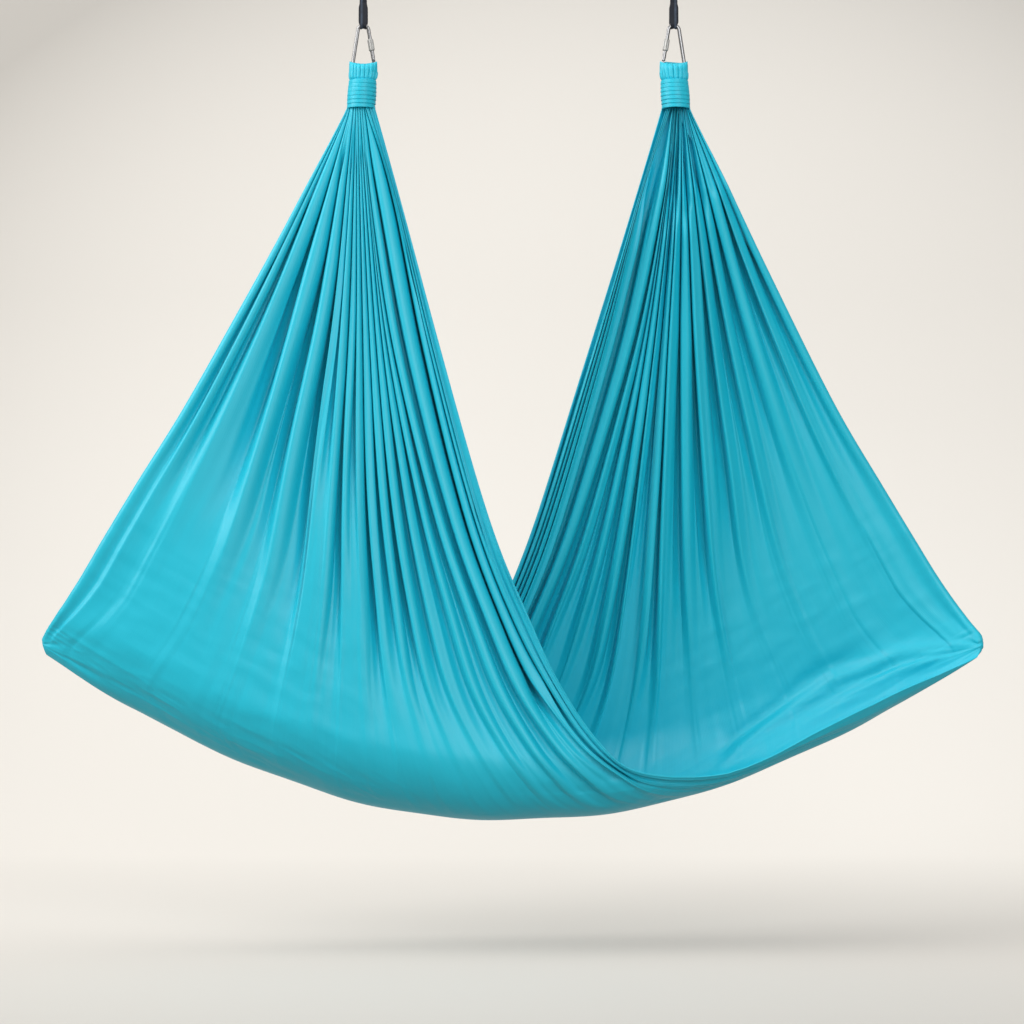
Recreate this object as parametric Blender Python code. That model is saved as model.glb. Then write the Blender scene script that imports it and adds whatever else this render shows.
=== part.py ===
"""Aerial yoga hammock: one wide cloth gathered at both ends and hung from two screw-lock carabiners.

Metres, +Z up. X runs from the left hanging point to the right one and -Y faces the viewer.
The origin is where the left strap's top eye bears on the hook that holds it.
"""

import math

import bmesh
import bpy
from mathutils import Vector

# Layout
HANG_SPACING = 0.683
TOUCH_GAP = 0.0003

# Sewn webbing straps
STRAP_WIDTH = 0.020
STRAP_THICKNESS = 0.0025
STRAP_LENGTH = 0.128
STRAP_TACK_LENGTH = 0.030
STRAP_TACK_WIDTH = 0.016
STRAP_TUCK_WIDTH = 0.011
STRAP_TAPER_LENGTH = 0.0135
STRAP_FOLD_RADIUS = 0.0008
TOP_EYE_RADIUS = 0.0075
LOWER_EYE_RADIUS = 0.0062
LOWER_EYE_LENGTH = 0.050

# Carabiner body
BAR_DIAMETER = 0.0085
BODY_HEIGHT = 0.110
TOP_BEND_RADIUS = 0.0118
BOTTOM_BEND_RADIUS = 0.014
SIDE_LEAN = math.radians(9.3)
NOSE_STRAIGHT = 0.0080
BAR_SIDES = 16

# Carabiner gate, its hinge and its latch
HINGE_ABOVE_BEND = 0.009548
GATE_END_GAP = 0.0005
TONGUE_THICKNESS = 0.0026
RUNNING_GAP = 0.0003
HINGE_END_CLEARANCE = 0.0005
RIVET_DIAMETER = 0.0025
RIVET_PROUD = 0.00015
NOSE_TONGUE_LENGTH = 0.0059
NOSE_TONGUE_HALF_WIDTH = 0.0033
LATCH_DEPTH = 0.0035
LATCH_PIN_DIAMETER = 0.0018
SPRING_BORE_DIAMETER = 0.0042
SPRING_BORE_DEPTH = 0.0175
SPRING_WIRE = 0.0006
SPRING_TURNS = 7
PLUNGER_LENGTH = 0.0045

# Lock sleeve
SLEEVE_DIAMETER = 0.013
SLEEVE_LENGTH = 0.0259
SLEEVE_BELOW_NOSE = 0.0127
SLEEVE_BORE_CLEARANCE = 0.00035
SLEEVE_CHAMFER = 0.0012
SLEEVE_FLUTES = 18
FLUTE_DEPTH = 0.0005

# Gathered end of the cloth over the carabiner's bottom bar
LOOP_SIDE_WALL = 0.0022
LOOP_HALF_DEPTH = 0.021
LOOP_TOP_AT_SIDES = 0.0232
LOOP_TOP_AT_MIDDLE = 0.0176
LOOP_SHOULDER = 0.0193
LOOP_CLEARANCE = 0.0006
LOOP_TOP_TAPER = 0.03
LOOP_GATHERS = 18
GATHER_DEPTH = 0.0014

# Bound neck under each end loop
NECK_HEIGHT = 0.0616
NECK_LEAN = 0.005
CORE_RADIUS = 0.0225
WRAP_BAND_THICKNESS = 0.0080
WRAP_BAND_GAP = 0.0006
WRAP_CLEARANCE = 0.0006
WRAP_LEVELS = 7
WRAP_STEP = (0.80, 0.93)
POINTS_PER_LOOP = 24

# Cloth between the necks
CLOTH_DROP = 1.565
TIP_HALF_SPAN = 1.037
TIP_RISE = 0.385
POCKET_HALF_DEPTH = 0.150
POCKET_ROUND = 0.150
TIP_HALF_DEPTH = 0.022
SWAY = -0.014
NECK_HALF_WIDTH = 0.0300
FOLD_COUNT = 12
FOLD_DEPTH = 0.022
BOTTOM_FOLD_DEPTH = 0.003
SHELL_THICKNESS = 0.0018
NECK_SHELL_EXTRA = 0.006

# Guide lines of the front sheet, from the outer edge to the hem: each one's share of the cloth's width, then
# its places from the neck to the bottom fold, as shares of the tips' half span and of the fold's depth there
GUIDES = (
    (0.0, (-0.433, 0.095), (-0.552, 0.263), (-0.689, 0.469), (-0.783, 0.622), (-0.847, 0.732),
     (-0.901, 0.828), (-0.950, 0.912), (-0.965, 0.938), (-0.977, 0.958), (-0.988, 0.977)),
    (0.167, (-0.380, 0.110), (-0.426, 0.299), (-0.484, 0.517), (-0.526, 0.668), (-0.564, 0.771),
     (-0.602, 0.856), (-0.636, 0.928), (-0.645, 0.949), (-0.652, 0.966), (-0.659, 0.981)),
    (0.333, (-0.343, 0.117), (-0.342, 0.317), (-0.340, 0.541), (-0.338, 0.690), (-0.337, 0.791),
     (-0.336, 0.870), (-0.335, 0.936), (-0.334, 0.955), (-0.334, 0.970), (-0.334, 0.984)),
    (0.5, (-0.317, 0.124), (-0.284, 0.332), (-0.233, 0.563), (-0.191, 0.714), (-0.153, 0.813),
     (-0.103, 0.887), (-0.051, 0.944), (-0.036, 0.960), (-0.023, 0.973), (-0.013, 0.985)),
    (0.625, (-0.296, 0.129), (-0.233, 0.342), (-0.132, 0.579), (-0.047, 0.724), (0.016, 0.820),
     (0.094, 0.902), (0.165, 0.953), (0.189, 0.966), (0.212, 0.978), (0.231, 0.988)),
    (0.72, (-0.262, 0.129), (-0.184, 0.340), (-0.083, 0.577), (-0.003, 0.716), (0.068, 0.808),
     (0.150, 0.890), (0.246, 0.955), (0.312, 0.975), (0.359, 0.987), (0.401, 0.995)),
    (0.8, (-0.258, 0.129), (-0.174, 0.340), (-0.070, 0.577), (0.011, 0.714), (0.080, 0.805),
     (0.161, 0.888), (0.250, 0.949), (0.343, 0.975), (0.430, 0.988), (0.520, 0.995)),
    (0.9, (-0.255, 0.129), (-0.166, 0.340), (-0.058, 0.577), (0.023, 0.713), (0.087, 0.804),
     (0.166, 0.885), (0.254, 0.943), (0.373, 0.974), (0.504, 0.987), (0.653, 0.987)),
    (1.0, (-0.251, 0.129), (-0.159, 0.340), (-0.049, 0.577), (0.032, 0.711), (0.094, 0.802),
     (0.172, 0.882), (0.258, 0.936), (0.393, 0.970), (0.536, 0.979), (0.738, 0.961)),
)
# How far down the sheet each place of a guide is, as a share of its length
PLACE_SHARES = (0, 0.117, 0.316, 0.54, 0.69, 0.79, 0.87, 0.936, 0.955, 0.97, 0.984, 1)
# The sheet's rows, counted in places of its guides
SHEET_ROWS = (0, 0.5, 1, 1.5, 2, 2.75, 3.5, 4.25, 5.25, 6.25, 7.25, 9, 11)

# Dependent sizes
BAR_RADIUS = BAR_DIAMETER / 2
TOP_BAR_HEIGHT = -STRAP_LENGTH
SIDE_NORMAL = Vector((math.cos(SIDE_LEAN), math.sin(SIDE_LEAN)))
SIDE_DOWN = Vector((math.sin(SIDE_LEAN), -math.cos(SIDE_LEAN)))
TOP_BEND_CENTRE = Vector((0, -TOP_BEND_RADIUS))
SIDE_TOP = TOP_BEND_CENTRE + TOP_BEND_RADIUS * SIDE_NORMAL
BOTTOM_BAR_DEPTH = BODY_HEIGHT - BAR_DIAMETER
SIDE_LENGTH = (
    SIDE_TOP.y + BOTTOM_BAR_DEPTH - BOTTOM_BEND_RADIUS * (1 + math.sin(SIDE_LEAN))
) / math.cos(SIDE_LEAN)
BOTTOM_BEND_CENTRE = SIDE_TOP + SIDE_LENGTH * SIDE_DOWN - BOTTOM_BEND_RADIUS * SIDE_NORMAL
PASSAGE_RADIUS = BAR_RADIUS + LOOP_CLEARANCE
LOOP_HALF_WIDTH = BOTTOM_BEND_CENTRE.x + BOTTOM_BEND_RADIUS + PASSAGE_RADIUS + LOOP_SIDE_WALL
GATE_LENGTH = SIDE_LENGTH - NOSE_STRAIGHT - HINGE_ABOVE_BEND
SLEEVE_HEIGHT = GATE_LENGTH - SLEEVE_BELOW_NOSE - SLEEVE_LENGTH
JUNCTION = SIDE_TOP + NOSE_STRAIGHT * SIDE_DOWN
HINGE = JUNCTION + GATE_LENGTH * SIDE_DOWN
BOTTOM_BAR_HEIGHT = TOP_BAR_HEIGHT - BOTTOM_BAR_DEPTH
NECK_BOTTOM = BOTTOM_BAR_HEIGHT - LOOP_SHOULDER - NECK_HEIGHT
WRAP_PITCH = (NECK_HEIGHT - 3 * TOUCH_GAP + WRAP_BAND_GAP) / WRAP_LEVELS
WRAP_BAND_HEIGHT = WRAP_PITCH - WRAP_BAND_GAP
SLOT_WIDTH = TONGUE_THICKNESS + 2 * RUNNING_GAP
LUG_RADIUS = BAR_RADIUS - RUNNING_GAP
FORK_DEPTH = LUG_RADIUS + HINGE_END_CLEARANCE
MIDLINE = HANG_SPACING / 2


def clear_scene():
    for thing in list(bpy.data.objects):
        bpy.data.objects.remove(thing, do_unlink=True)


def make_material(name, colour, roughness, metallic=0.0):
    material = bpy.data.materials.new(name)
    material.use_nodes = True
    shader = material.node_tree.nodes["Principled BSDF"]
    shader.inputs["Base Color"].default_value = (*colour, 1)
    shader.inputs["Roughness"].default_value = roughness
    shader.inputs["Metallic"].default_value = metallic
    material.diffuse_color = (*colour, 1)
    return material


def add_empty(name, location, parent=None):
    empty = bpy.data.objects.new(name, None)
    bpy.context.collection.objects.link(empty)
    empty.location = location
    empty.empty_display_size = 0.02
    empty.parent = parent
    return empty


def make_mesh(name, points, faces, material=None, crease=30):
    """Closed mesh whose faces are turned outwards."""
    mesh = bpy.data.meshes.new(name)
    mesh.from_pydata([tuple(point) for point in points], [], faces)
    work = bmesh.new()
    work.from_mesh(mesh)
    bmesh.ops.recalc_face_normals(work, faces=work.faces)
    work.to_mesh(mesh)
    work.free()
    if material:
        mesh.materials.append(material)
    mesh.shade_smooth()
    mesh.set_sharp_from_angle(angle=math.radians(crease))
    return mesh


def add_piece(name, mesh, parent, location=(0, 0, 0), lean=0.0):
    piece = bpy.data.objects.new(name, mesh)
    bpy.context.collection.objects.link(piece)
    piece.parent = parent
    piece.location = location
    piece.rotation_euler = (0, lean, 0)
    return piece


def cut(piece, cutter_mesh, operation="DIFFERENCE"):
    """Cut the piece by a guide that shares its place, or join the two."""
    cutter = add_piece(cutter_mesh.name, cutter_mesh, piece)
    cutter.hide_render = True
    cutter.display_type = "WIRE"
    modifier = piece.modifiers.new(cutter_mesh.name, "BOOLEAN")
    modifier.operation = operation
    modifier.solver = "EXACT"
    modifier.object = cutter


def loft(rings, closed=False):
    """Skin rings of equal counts, with end caps or joined end to end."""
    count = len(rings[0])
    points = [point for ring in rings for point in ring]
    faces = []
    steps = len(rings) if closed else len(rings) - 1
    for step in range(steps):
        low = step * count
        high = (step + 1) % len(rings) * count
        for i in range(count):
            j = (i + 1) % count
            faces.append((low + i, low + j, high + j, high + i))
    if not closed:
        faces.append(tuple(reversed(range(count))))
        faces.append(tuple(range((len(rings) - 1) * count, len(rings) * count)))
    return points, faces


def circle(radius, height, sides):
    turns = [2 * math.pi * (i + 0.5) / sides for i in range(sides)]
    return [(radius * math.cos(a), radius * math.sin(a), height) for a in turns]


def turned(profile, sides, closed=False):
    """Turn (radius, height) pairs about the vertical axis."""
    return loft([circle(radius, height, sides) for radius, height in profile], closed)


def cross_pin(radius, half_length, height, sides=12):
    """Round bar along Y at the given height."""
    rings = []
    for y in (-half_length, half_length):
        rings.append([(x, y, z + height) for x, z, _ in circle(radius, 0, sides)])
    return loft(rings)


def plate(outline, half_thickness):
    """Flat outline in the X-Z plane, given a thickness along Y."""
    return loft([[(x, y, z) for x, z in outline] for y in (-half_thickness, half_thickness)])


def block(low, high):
    outline = ((low[0], low[2]), (high[0], low[2]), (high[0], high[2]), (low[0], high[2]))
    return loft([[(x, y, z) for x, z in outline] for y in (low[1], high[1])])


def arc(centre, radius, start, end, steps):
    """Points of an arc in a plane; angles in radians from the first axis."""
    turns = [start + (end - start) * i / steps for i in range(steps + 1)]
    return [Vector((centre[0] + radius * math.cos(a), centre[1] + radius * math.sin(a))) for a in turns]


def ease(value):
    value = min(max(value, 0.0), 1.0)
    return value * value * (3 - 2 * value)


# Straps

def eye_band(end_height, end_radius, fold_height, columns, shape):
    """Band of webbing round an eye: its two plies run from the eye's end to a tight fold at the tack."""
    rise = abs(fold_height - end_height)
    end_middle = end_radius + STRAP_THICKNESS / 2
    fold_middle = STRAP_FOLD_RADIUS + STRAP_THICKNESS / 2
    spread = math.asin((end_middle - fold_middle) / rise)
    upward = 1 if fold_height > end_height else -1
    route = []
    for a in arc((0, 0), 1, math.pi - spread, 2 * math.pi + spread, 12):
        route.append((a, end_middle, end_height))
    for a in arc((0, 0), 1, spread, math.pi - spread, 4):
        route.append((a, fold_middle, fold_height))
    dense = []
    for (a, radius, height), (b, far_radius, far_height) in zip(route, route[1:] + route[:1]):
        dense.append((a, radius, height))
        if height != far_height:
            for part in (1 / 3, 2 / 3):
                between = radius + (far_radius - radius) * part
                dense.append((a.lerp(b, part), between, height + (far_height - height) * part))
    rings = []
    for a, radius, height in dense:
        ring = []
        for layer in (-STRAP_THICKNESS / 2, STRAP_THICKNESS / 2):
            line = []
            for column in range(columns + 1):
                across = 2 * column / columns - 1
                y = a.x * (radius + layer)
                z = height + upward * a.y * (radius + layer)
                line.append(shape(across, y, z))
            ring += line if layer > 0 else line[::-1]
        rings.append(ring)
    return loft(rings, closed=True)


def strap_half_width(height):
    """Full width, pinched at the tack and tucked under the carabiner's bar."""
    tack_middle = TOP_BAR_HEIGHT + LOWER_EYE_LENGTH + STRAP_TACK_LENGTH / 2
    away = abs(height - tack_middle) - STRAP_TACK_LENGTH / 2
    width = STRAP_TACK_WIDTH + (STRAP_WIDTH - STRAP_TACK_WIDTH) * ease(away / STRAP_TAPER_LENGTH)
    above_tuck = height - (TOP_BAR_HEIGHT - BAR_RADIUS)
    return (STRAP_TUCK_WIDTH + (width - STRAP_TUCK_WIDTH) * ease(above_tuck / STRAP_TAPER_LENGTH)) / 2


def top_eye_shape(across, y, z):
    return across * strap_half_width(z), y, z


def lower_eye_shape(across, y, z):
    """The tucked part arches with the bar that rests in it."""
    x = across * strap_half_width(z)
    inner_bend = TOP_BEND_RADIUS - BAR_RADIUS - TOUCH_GAP
    reach = min(abs(x), STRAP_TUCK_WIDTH / 2)
    arch = inner_bend - math.sqrt(inner_bend**2 - reach**2)
    return x, y, z - arch * (1 - ease((z - TOP_BAR_HEIGHT) / (2 * BAR_DIAMETER)))


def make_strap_mesh(material):
    lower_end = TOP_BAR_HEIGHT - BAR_RADIUS - TOUCH_GAP + LOWER_EYE_RADIUS
    tack_bottom = TOP_BAR_HEIGHT + LOWER_EYE_LENGTH
    tack_top = tack_bottom + STRAP_TACK_LENGTH
    fold_reach = STRAP_FOLD_RADIUS + STRAP_THICKNESS
    tack = plate(
        [
            (-STRAP_TACK_WIDTH / 2, tack_bottom - fold_reach / 2),
            (STRAP_TACK_WIDTH / 2, tack_bottom - fold_reach / 2),
            (STRAP_TACK_WIDTH / 2, tack_top + fold_reach / 2),
            (-STRAP_TACK_WIDTH / 2, tack_top + fold_reach / 2),
        ],
        STRAP_THICKNESS,
    )
    lower = eye_band(lower_end, LOWER_EYE_RADIUS, tack_bottom - fold_reach, 4, lower_eye_shape)
    upper = eye_band(-TOP_EYE_RADIUS, TOP_EYE_RADIUS, tack_top + fold_reach, 2, top_eye_shape)
    return (
        make_mesh("strap_tack", *tack, material),
        make_mesh("strap_lower_eye", *lower, material),
        make_mesh("strap_top_eye", *upper, material),
    )


# Carabiners

def bar_route(first, last):
    """Bar centreline from the gate's side, under, up the spine and over to the other end on that side."""
    gate_lean = math.pi - SIDE_LEAN
    spine_bend = Vector((-BOTTOM_BEND_CENTRE.x, BOTTOM_BEND_CENTRE.y))
    route = [first]
    route += arc(BOTTOM_BEND_CENTRE, BOTTOM_BEND_RADIUS, SIDE_LEAN, -math.pi / 2, 8)
    route += arc(spine_bend, BOTTOM_BEND_RADIUS, -math.pi / 2, SIDE_LEAN - math.pi, 8)
    if last is not None:
        route += arc(TOP_BEND_CENTRE, TOP_BEND_RADIUS, gate_lean, SIDE_LEAN, 14) + [last]
    return route


def sweep_bar(route, radius, sides):
    """Round bar along a route in the X-Z plane."""
    rings = []
    for i, point in enumerate(route):
        before = route[max(i - 1, 0)]
        after = route[min(i + 1, len(route) - 1)]
        along = (after - before).normalized()
        out = Vector((along.y, -along.x))
        if 0 < i < len(route) - 1:
            first = (point - before).normalized()
            along = (first + (after - point).normalized()).normalized()
            out = Vector((along.y, -along.x))
        ring = []
        for x, y, _ in circle(radius, 0, sides):
            place = point + x * out
            ring.append((place.x, y, place.y))
        rings.append(ring)
    return loft(rings)


def beside_gate(outward, upward, origin=HINGE):
    """Point in the carabiner's plane, measured square to the gate and along it."""
    return origin + outward * SIDE_NORMAL - upward * SIDE_DOWN


def hinge_lug():
    """Flat lug with a round end that stands in the gate's fork."""
    root = -(LUG_RADIUS + HINGE_END_CLEARANCE)
    neck = 0.7 * LUG_RADIUS
    outline = [beside_gate(-neck, 2 * root), beside_gate(neck, 2 * root)]
    outline += [beside_gate(LUG_RADIUS, 0.9 * root)]
    outline += [beside_gate(p.x, p.y) for p in arc((0, 0), LUG_RADIUS, 0, math.pi, 10)]
    outline += [beside_gate(-LUG_RADIUS, 0.9 * root)]
    return plate(outline, TONGUE_THICKNESS / 2)


def nose_tongue():
    """Hooked tongue under the nose; the gate's pin leaves its notch towards the inside."""
    half = NOSE_TONGUE_HALF_WIDTH
    notch = LATCH_PIN_DIAMETER / 2 + RUNNING_GAP
    corners = [(half, BAR_RADIUS), (-half, BAR_RADIUS), (-half, notch - LATCH_DEPTH)]
    corners += [(p.x, p.y) for p in arc((0, -LATCH_DEPTH), notch, math.pi / 2, -math.pi / 2, 8)]
    corners += [(-half, -notch - LATCH_DEPTH), (0.3 * notch - half, -NOSE_TONGUE_LENGTH)]
    corners += [(half - 0.3 * notch, -NOSE_TONGUE_LENGTH), (half, -notch - LATCH_DEPTH)]
    outline = [beside_gate(outward, upward, JUNCTION) for outward, upward in corners]
    return plate(outline, TONGUE_THICKNESS / 2)


def mirrored(shape, side):
    points, faces = shape
    return [(side * x, y, z) for x, y, z in points], faces


def make_frame(name, side, parent, material):
    shoulder = beside_gate(0, -(LUG_RADIUS + HINGE_END_CLEARANCE + RUNNING_GAP))
    bar = sweep_bar(bar_route(shoulder, JUNCTION), BAR_RADIUS, BAR_SIDES)
    frame = add_piece(name, make_mesh(name, *mirrored(bar, side), material), parent)
    rivet_hole = cross_pin(RIVET_DIAMETER / 2 + RUNNING_GAP, BAR_DIAMETER, 0)
    rivet_hole = [(x + HINGE.x, y, z + HINGE.y) for x, y, z in rivet_hole[0]], rivet_hole[1]
    cut(frame, make_mesh(name + "_lug", *mirrored(hinge_lug(), side)), "UNION")
    cut(frame, make_mesh(name + "_tongue", *mirrored(nose_tongue(), side)), "UNION")
    cut(frame, make_mesh(name + "_rivet_hole", *mirrored(rivet_hole, side)))
    return frame


def make_gate_shapes():
    """Gate along its own axis, hinge at the origin: a rod with a round fork end and a slotted nose end."""
    top = GATE_LENGTH - GATE_END_GAP
    round_end = [
        (BAR_RADIUS * math.cos(a), -BAR_RADIUS * math.sin(a)) for a in (1.35, 1.05, 0.75, 0.4)
    ]
    rod = turned(round_end + [(BAR_RADIUS, 0), (BAR_RADIUS, top)], BAR_SIDES)
    half_slot = SLOT_WIDTH / 2
    fork = block((-BAR_DIAMETER, -half_slot, -BAR_DIAMETER), (BAR_DIAMETER, half_slot, FORK_DEPTH))
    slot_floor = GATE_LENGTH - NOSE_TONGUE_LENGTH - GATE_END_GAP
    nose_slot = block((-BAR_DIAMETER, -half_slot, slot_floor), (BAR_DIAMETER, half_slot, 2 * GATE_LENGTH))
    bore_radius = SPRING_BORE_DIAMETER / 2
    bore = turned([(bore_radius, FORK_DEPTH / 2), (bore_radius, FORK_DEPTH + SPRING_BORE_DEPTH)], 12)
    rivet_hole = cross_pin(RIVET_DIAMETER / 2 + RUNNING_GAP, BAR_DIAMETER, 0)
    pin_hole = cross_pin(LATCH_PIN_DIAMETER / 2 + RUNNING_GAP, BAR_DIAMETER, GATE_LENGTH - LATCH_DEPTH)
    cuts = {"fork": fork, "nose_slot": nose_slot, "bore": bore}
    cuts.update({"rivet_hole": rivet_hole, "pin_hole": pin_hole})
    return rod, cuts


def make_sleeve_mesh(material):
    """Fluted locking sleeve, modelled along the gate's axis."""
    outer = SLEEVE_DIAMETER / 2
    bore = BAR_RADIUS + SLEEVE_BORE_CLEARANCE
    low = SLEEVE_HEIGHT
    high = low + SLEEVE_LENGTH
    levels = (
        (bore, low + SLEEVE_CHAMFER / 3, False),
        (bore + SLEEVE_CHAMFER / 3, low, False),
        (outer - SLEEVE_CHAMFER, low, False),
        (outer - FLUTE_DEPTH, low + SLEEVE_CHAMFER, False),
        (outer, low + 2 * SLEEVE_CHAMFER, True),
        (outer, high - 2 * SLEEVE_CHAMFER, True),
        (outer - FLUTE_DEPTH, high - SLEEVE_CHAMFER, False),
        (outer - SLEEVE_CHAMFER, high, False),
        (bore + SLEEVE_CHAMFER / 3, high, False),
        (bore, high - SLEEVE_CHAMFER / 3, False),
    )
    rings = []
    for radius, height, fluted in levels:
        ring = circle(radius, height, 2 * SLEEVE_FLUTES)
        if fluted:
            groove = (radius - FLUTE_DEPTH) / radius
            ring = [
                (x * groove, y * groove, z) if i % 2 else (x, y, z) for i, (x, y, z) in enumerate(ring)
            ]
        rings.append(ring)
    points, faces = loft(rings, closed=True)
    return make_mesh("lock_sleeve", points, faces, material)


def make_rivet_mesh(material):
    half = BAR_RADIUS + RIVET_PROUD
    return make_mesh("hinge_rivet", *cross_pin(RIVET_DIAMETER / 2, half, 0, 16), material)


def make_latch_pin_mesh(material):
    radius = LATCH_PIN_DIAMETER / 2
    half = math.sqrt(BAR_RADIUS**2 - radius**2)
    return make_mesh("latch_pin", *cross_pin(radius, half, GATE_LENGTH - LATCH_DEPTH, 12), material)


def make_plunger_mesh(material):
    """Pin with a domed foot that presses on the hinge lug."""
    radius = SPRING_BORE_DIAMETER / 2 - RUNNING_GAP
    foot = LUG_RADIUS + TOUCH_GAP
    profile = ((0.4 * radius, foot), (0.8 * radius, foot + 0.2 * radius), (radius, foot + 0.6 * radius))
    profile += ((radius, foot + PLUNGER_LENGTH),)
    return make_mesh("spring_plunger", *turned(profile, 12), material)


def add_tube(name, route, radius, parent, material, location=(0, 0, 0), lean=0.0):
    """Unbroken round tube through the points of a route, with flat closed ends."""
    curve = bpy.data.curves.new(name, "CURVE")
    curve.dimensions = "3D"
    curve.resolution_u = 1
    curve.render_resolution_u = 0
    curve.bevel_depth = radius
    curve.bevel_resolution = 1
    curve.use_fill_caps = True
    spline = curve.splines.new("POLY")
    spline.points.add(len(route) - 1)
    for slot, point in zip(spline.points, route):
        slot.co = (*point, 1)
    curve.materials.append(material)
    return add_piece(name, curve, parent, location, lean)


def spring_route():
    """Curls in the gate's bore between its blind end and the plunger."""
    low = LUG_RADIUS + TOUCH_GAP + PLUNGER_LENGTH + TOUCH_GAP + SPRING_WIRE / 2
    high = FORK_DEPTH + SPRING_BORE_DEPTH - TOUCH_GAP - SPRING_WIRE / 2
    radius = SPRING_BORE_DIAMETER / 2 - RUNNING_GAP - SPRING_WIRE / 2
    points = []
    for i in range(SPRING_TURNS * 9 + 1):
        a = 2 * math.pi * i / 9
        climb = i / (SPRING_TURNS * 9)
        points.append(Vector((radius * math.cos(a), radius * math.sin(a), low + (high - low) * climb)))
    return points


# Gathered ends and bound necks

def neck_shift(height, side):
    """The bound neck leans outwards below the carabiner's bottom bar."""
    return -side * NECK_LEAN * min(max(-height / (LOOP_SHOULDER + NECK_HEIGHT), 0.0), 1.0)


def end_loop_rings(side):
    """Rings about the bottom bar's middle, from the neck's foot up over the bar."""
    count = 2 * LOOP_GATHERS
    foot = -(LOOP_SHOULDER + NECK_HEIGHT) + TOUCH_GAP
    sections = [
        (foot, CORE_RADIUS, CORE_RADIUS, 0.0),
        (-LOOP_SHOULDER - TOUCH_GAP, CORE_RADIUS, CORE_RADIUS, 0.0),
        (-LOOP_SHOULDER + TOUCH_GAP, 0.90 * LOOP_HALF_WIDTH, CORE_RADIUS, 0.3),
        (-0.7 * LOOP_SHOULDER, 0.98 * LOOP_HALF_WIDTH, 1.05 * CORE_RADIUS, 1.0),
        (-0.3 * LOOP_SHOULDER, LOOP_HALF_WIDTH, 1.04 * LOOP_HALF_DEPTH, 1.0),
    ]
    rings = []
    for height, half_width, half_depth, gather in sections:
        ring = []
        for i in range(count):
            a = 2 * math.pi * i / count
            crest = 1 + gather * GATHER_DEPTH / half_depth * (1 if i % 2 else -1)
            x = half_width * math.cos(a) + neck_shift(height, side)
            ring.append((x, half_depth * crest * math.sin(a), height))
        rings.append(ring)
    for share in (0.15, 0.45, 0.70, 0.88, 0.97):
        ring = []
        for i in range(count):
            a = 2 * math.pi * i / count
            crest = 1 + GATHER_DEPTH / LOOP_HALF_DEPTH * (1 if i % 2 else -1)
            x = LOOP_HALF_WIDTH * (1 - LOOP_TOP_TAPER * share**3) * math.cos(a)
            bow = (x / LOOP_HALF_WIDTH) ** 2
            top = LOOP_TOP_AT_MIDDLE + (LOOP_TOP_AT_SIDES - LOOP_TOP_AT_MIDDLE) * bow
            y = LOOP_HALF_DEPTH * crest * math.sqrt(1 - share**2) * math.sin(a)
            ring.append((x, y, share * top))
        rings.append(ring)
    return rings


def make_end_loop(name, side, parent, material):
    points, faces = loft(end_loop_rings(side))
    loop = add_piece(name, make_mesh(name, points, faces, material, 25), parent, (0, 0, -BOTTOM_BAR_DEPTH))
    above = SIDE_TOP + (GATE_LENGTH + NOSE_STRAIGHT) * SIDE_DOWN
    route = bar_route(above, None)
    route.append(Vector((-above.x, above.y)))
    route = [point + Vector((0, BOTTOM_BAR_DEPTH)) for point in route]
    passage = sweep_bar(route, PASSAGE_RADIUS, BAR_SIDES)
    cut(loop, make_mesh(name + "_passage", *mirrored(passage, side)))
    return loop


def wrap_rings(side):
    """Band wound down the neck in level turns that step down behind, where its two ends are cut square."""
    radius = CORE_RADIUS + WRAP_CLEARANCE + WRAP_BAND_THICKNESS / 2
    top = -LOOP_SHOULDER - 2 * TOUCH_GAP - WRAP_BAND_HEIGHT / 2
    tail = WRAP_BAND_HEIGHT / (2 * math.pi * radius)
    steps = int((WRAP_LEVELS - 1 + WRAP_STEP[0] - tail) * POINTS_PER_LOOP)
    section = [(-1, 1), (0.4, 1), (1, 0), (0.4, -1), (-1, -1)]
    rings = []
    for i in range(steps + 1):
        turns = i / POINTS_PER_LOOP
        a = math.pi / 2 + side * 2 * math.pi * turns
        stepped = ease((turns % 1 - WRAP_STEP[0]) / (WRAP_STEP[1] - WRAP_STEP[0]))
        z = top - (int(turns) + stepped) * WRAP_PITCH
        middle = Vector((neck_shift(z, side), 0, z))
        out = Vector((math.cos(a), math.sin(a), 0))
        ring = []
        for outward, upward in section:
            reach = radius + outward * WRAP_BAND_THICKNESS / 2
            ring.append(middle + reach * out + Vector((0, 0, upward * WRAP_BAND_HEIGHT / 2)))
        rings.append(ring)
    onward = Vector((-side * math.sin(a), side * math.cos(a), 0)) * WRAP_BAND_HEIGHT
    rings.insert(0, [point + Vector((side * WRAP_BAND_HEIGHT, 0, 0)) for point in rings[0]])
    rings.append([point + onward for point in rings[-1]])
    return rings


def least_self_gap(rings):
    """Least space between a wound band's turns, from points to lines half a turn or more away."""
    least = math.inf
    for i, ring in enumerate(rings):
        later = rings[i + POINTS_PER_LOOP // 2:]
        for near, far in zip(later, later[1:]):
            for a, b in zip(near, far):
                step = b - a
                for point in ring:
                    part = min(max((point - a).dot(step) / step.length_squared, 0.0), 1.0)
                    least = min(least, (point - a - part * step).length)
    return least


# Cloth between the necks

def bottom_line(x):
    """Depth of the bottom fold below the necks, across the midline."""
    return CLOTH_DROP - TIP_RISE * (x / TIP_HALF_SPAN) ** 2


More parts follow.
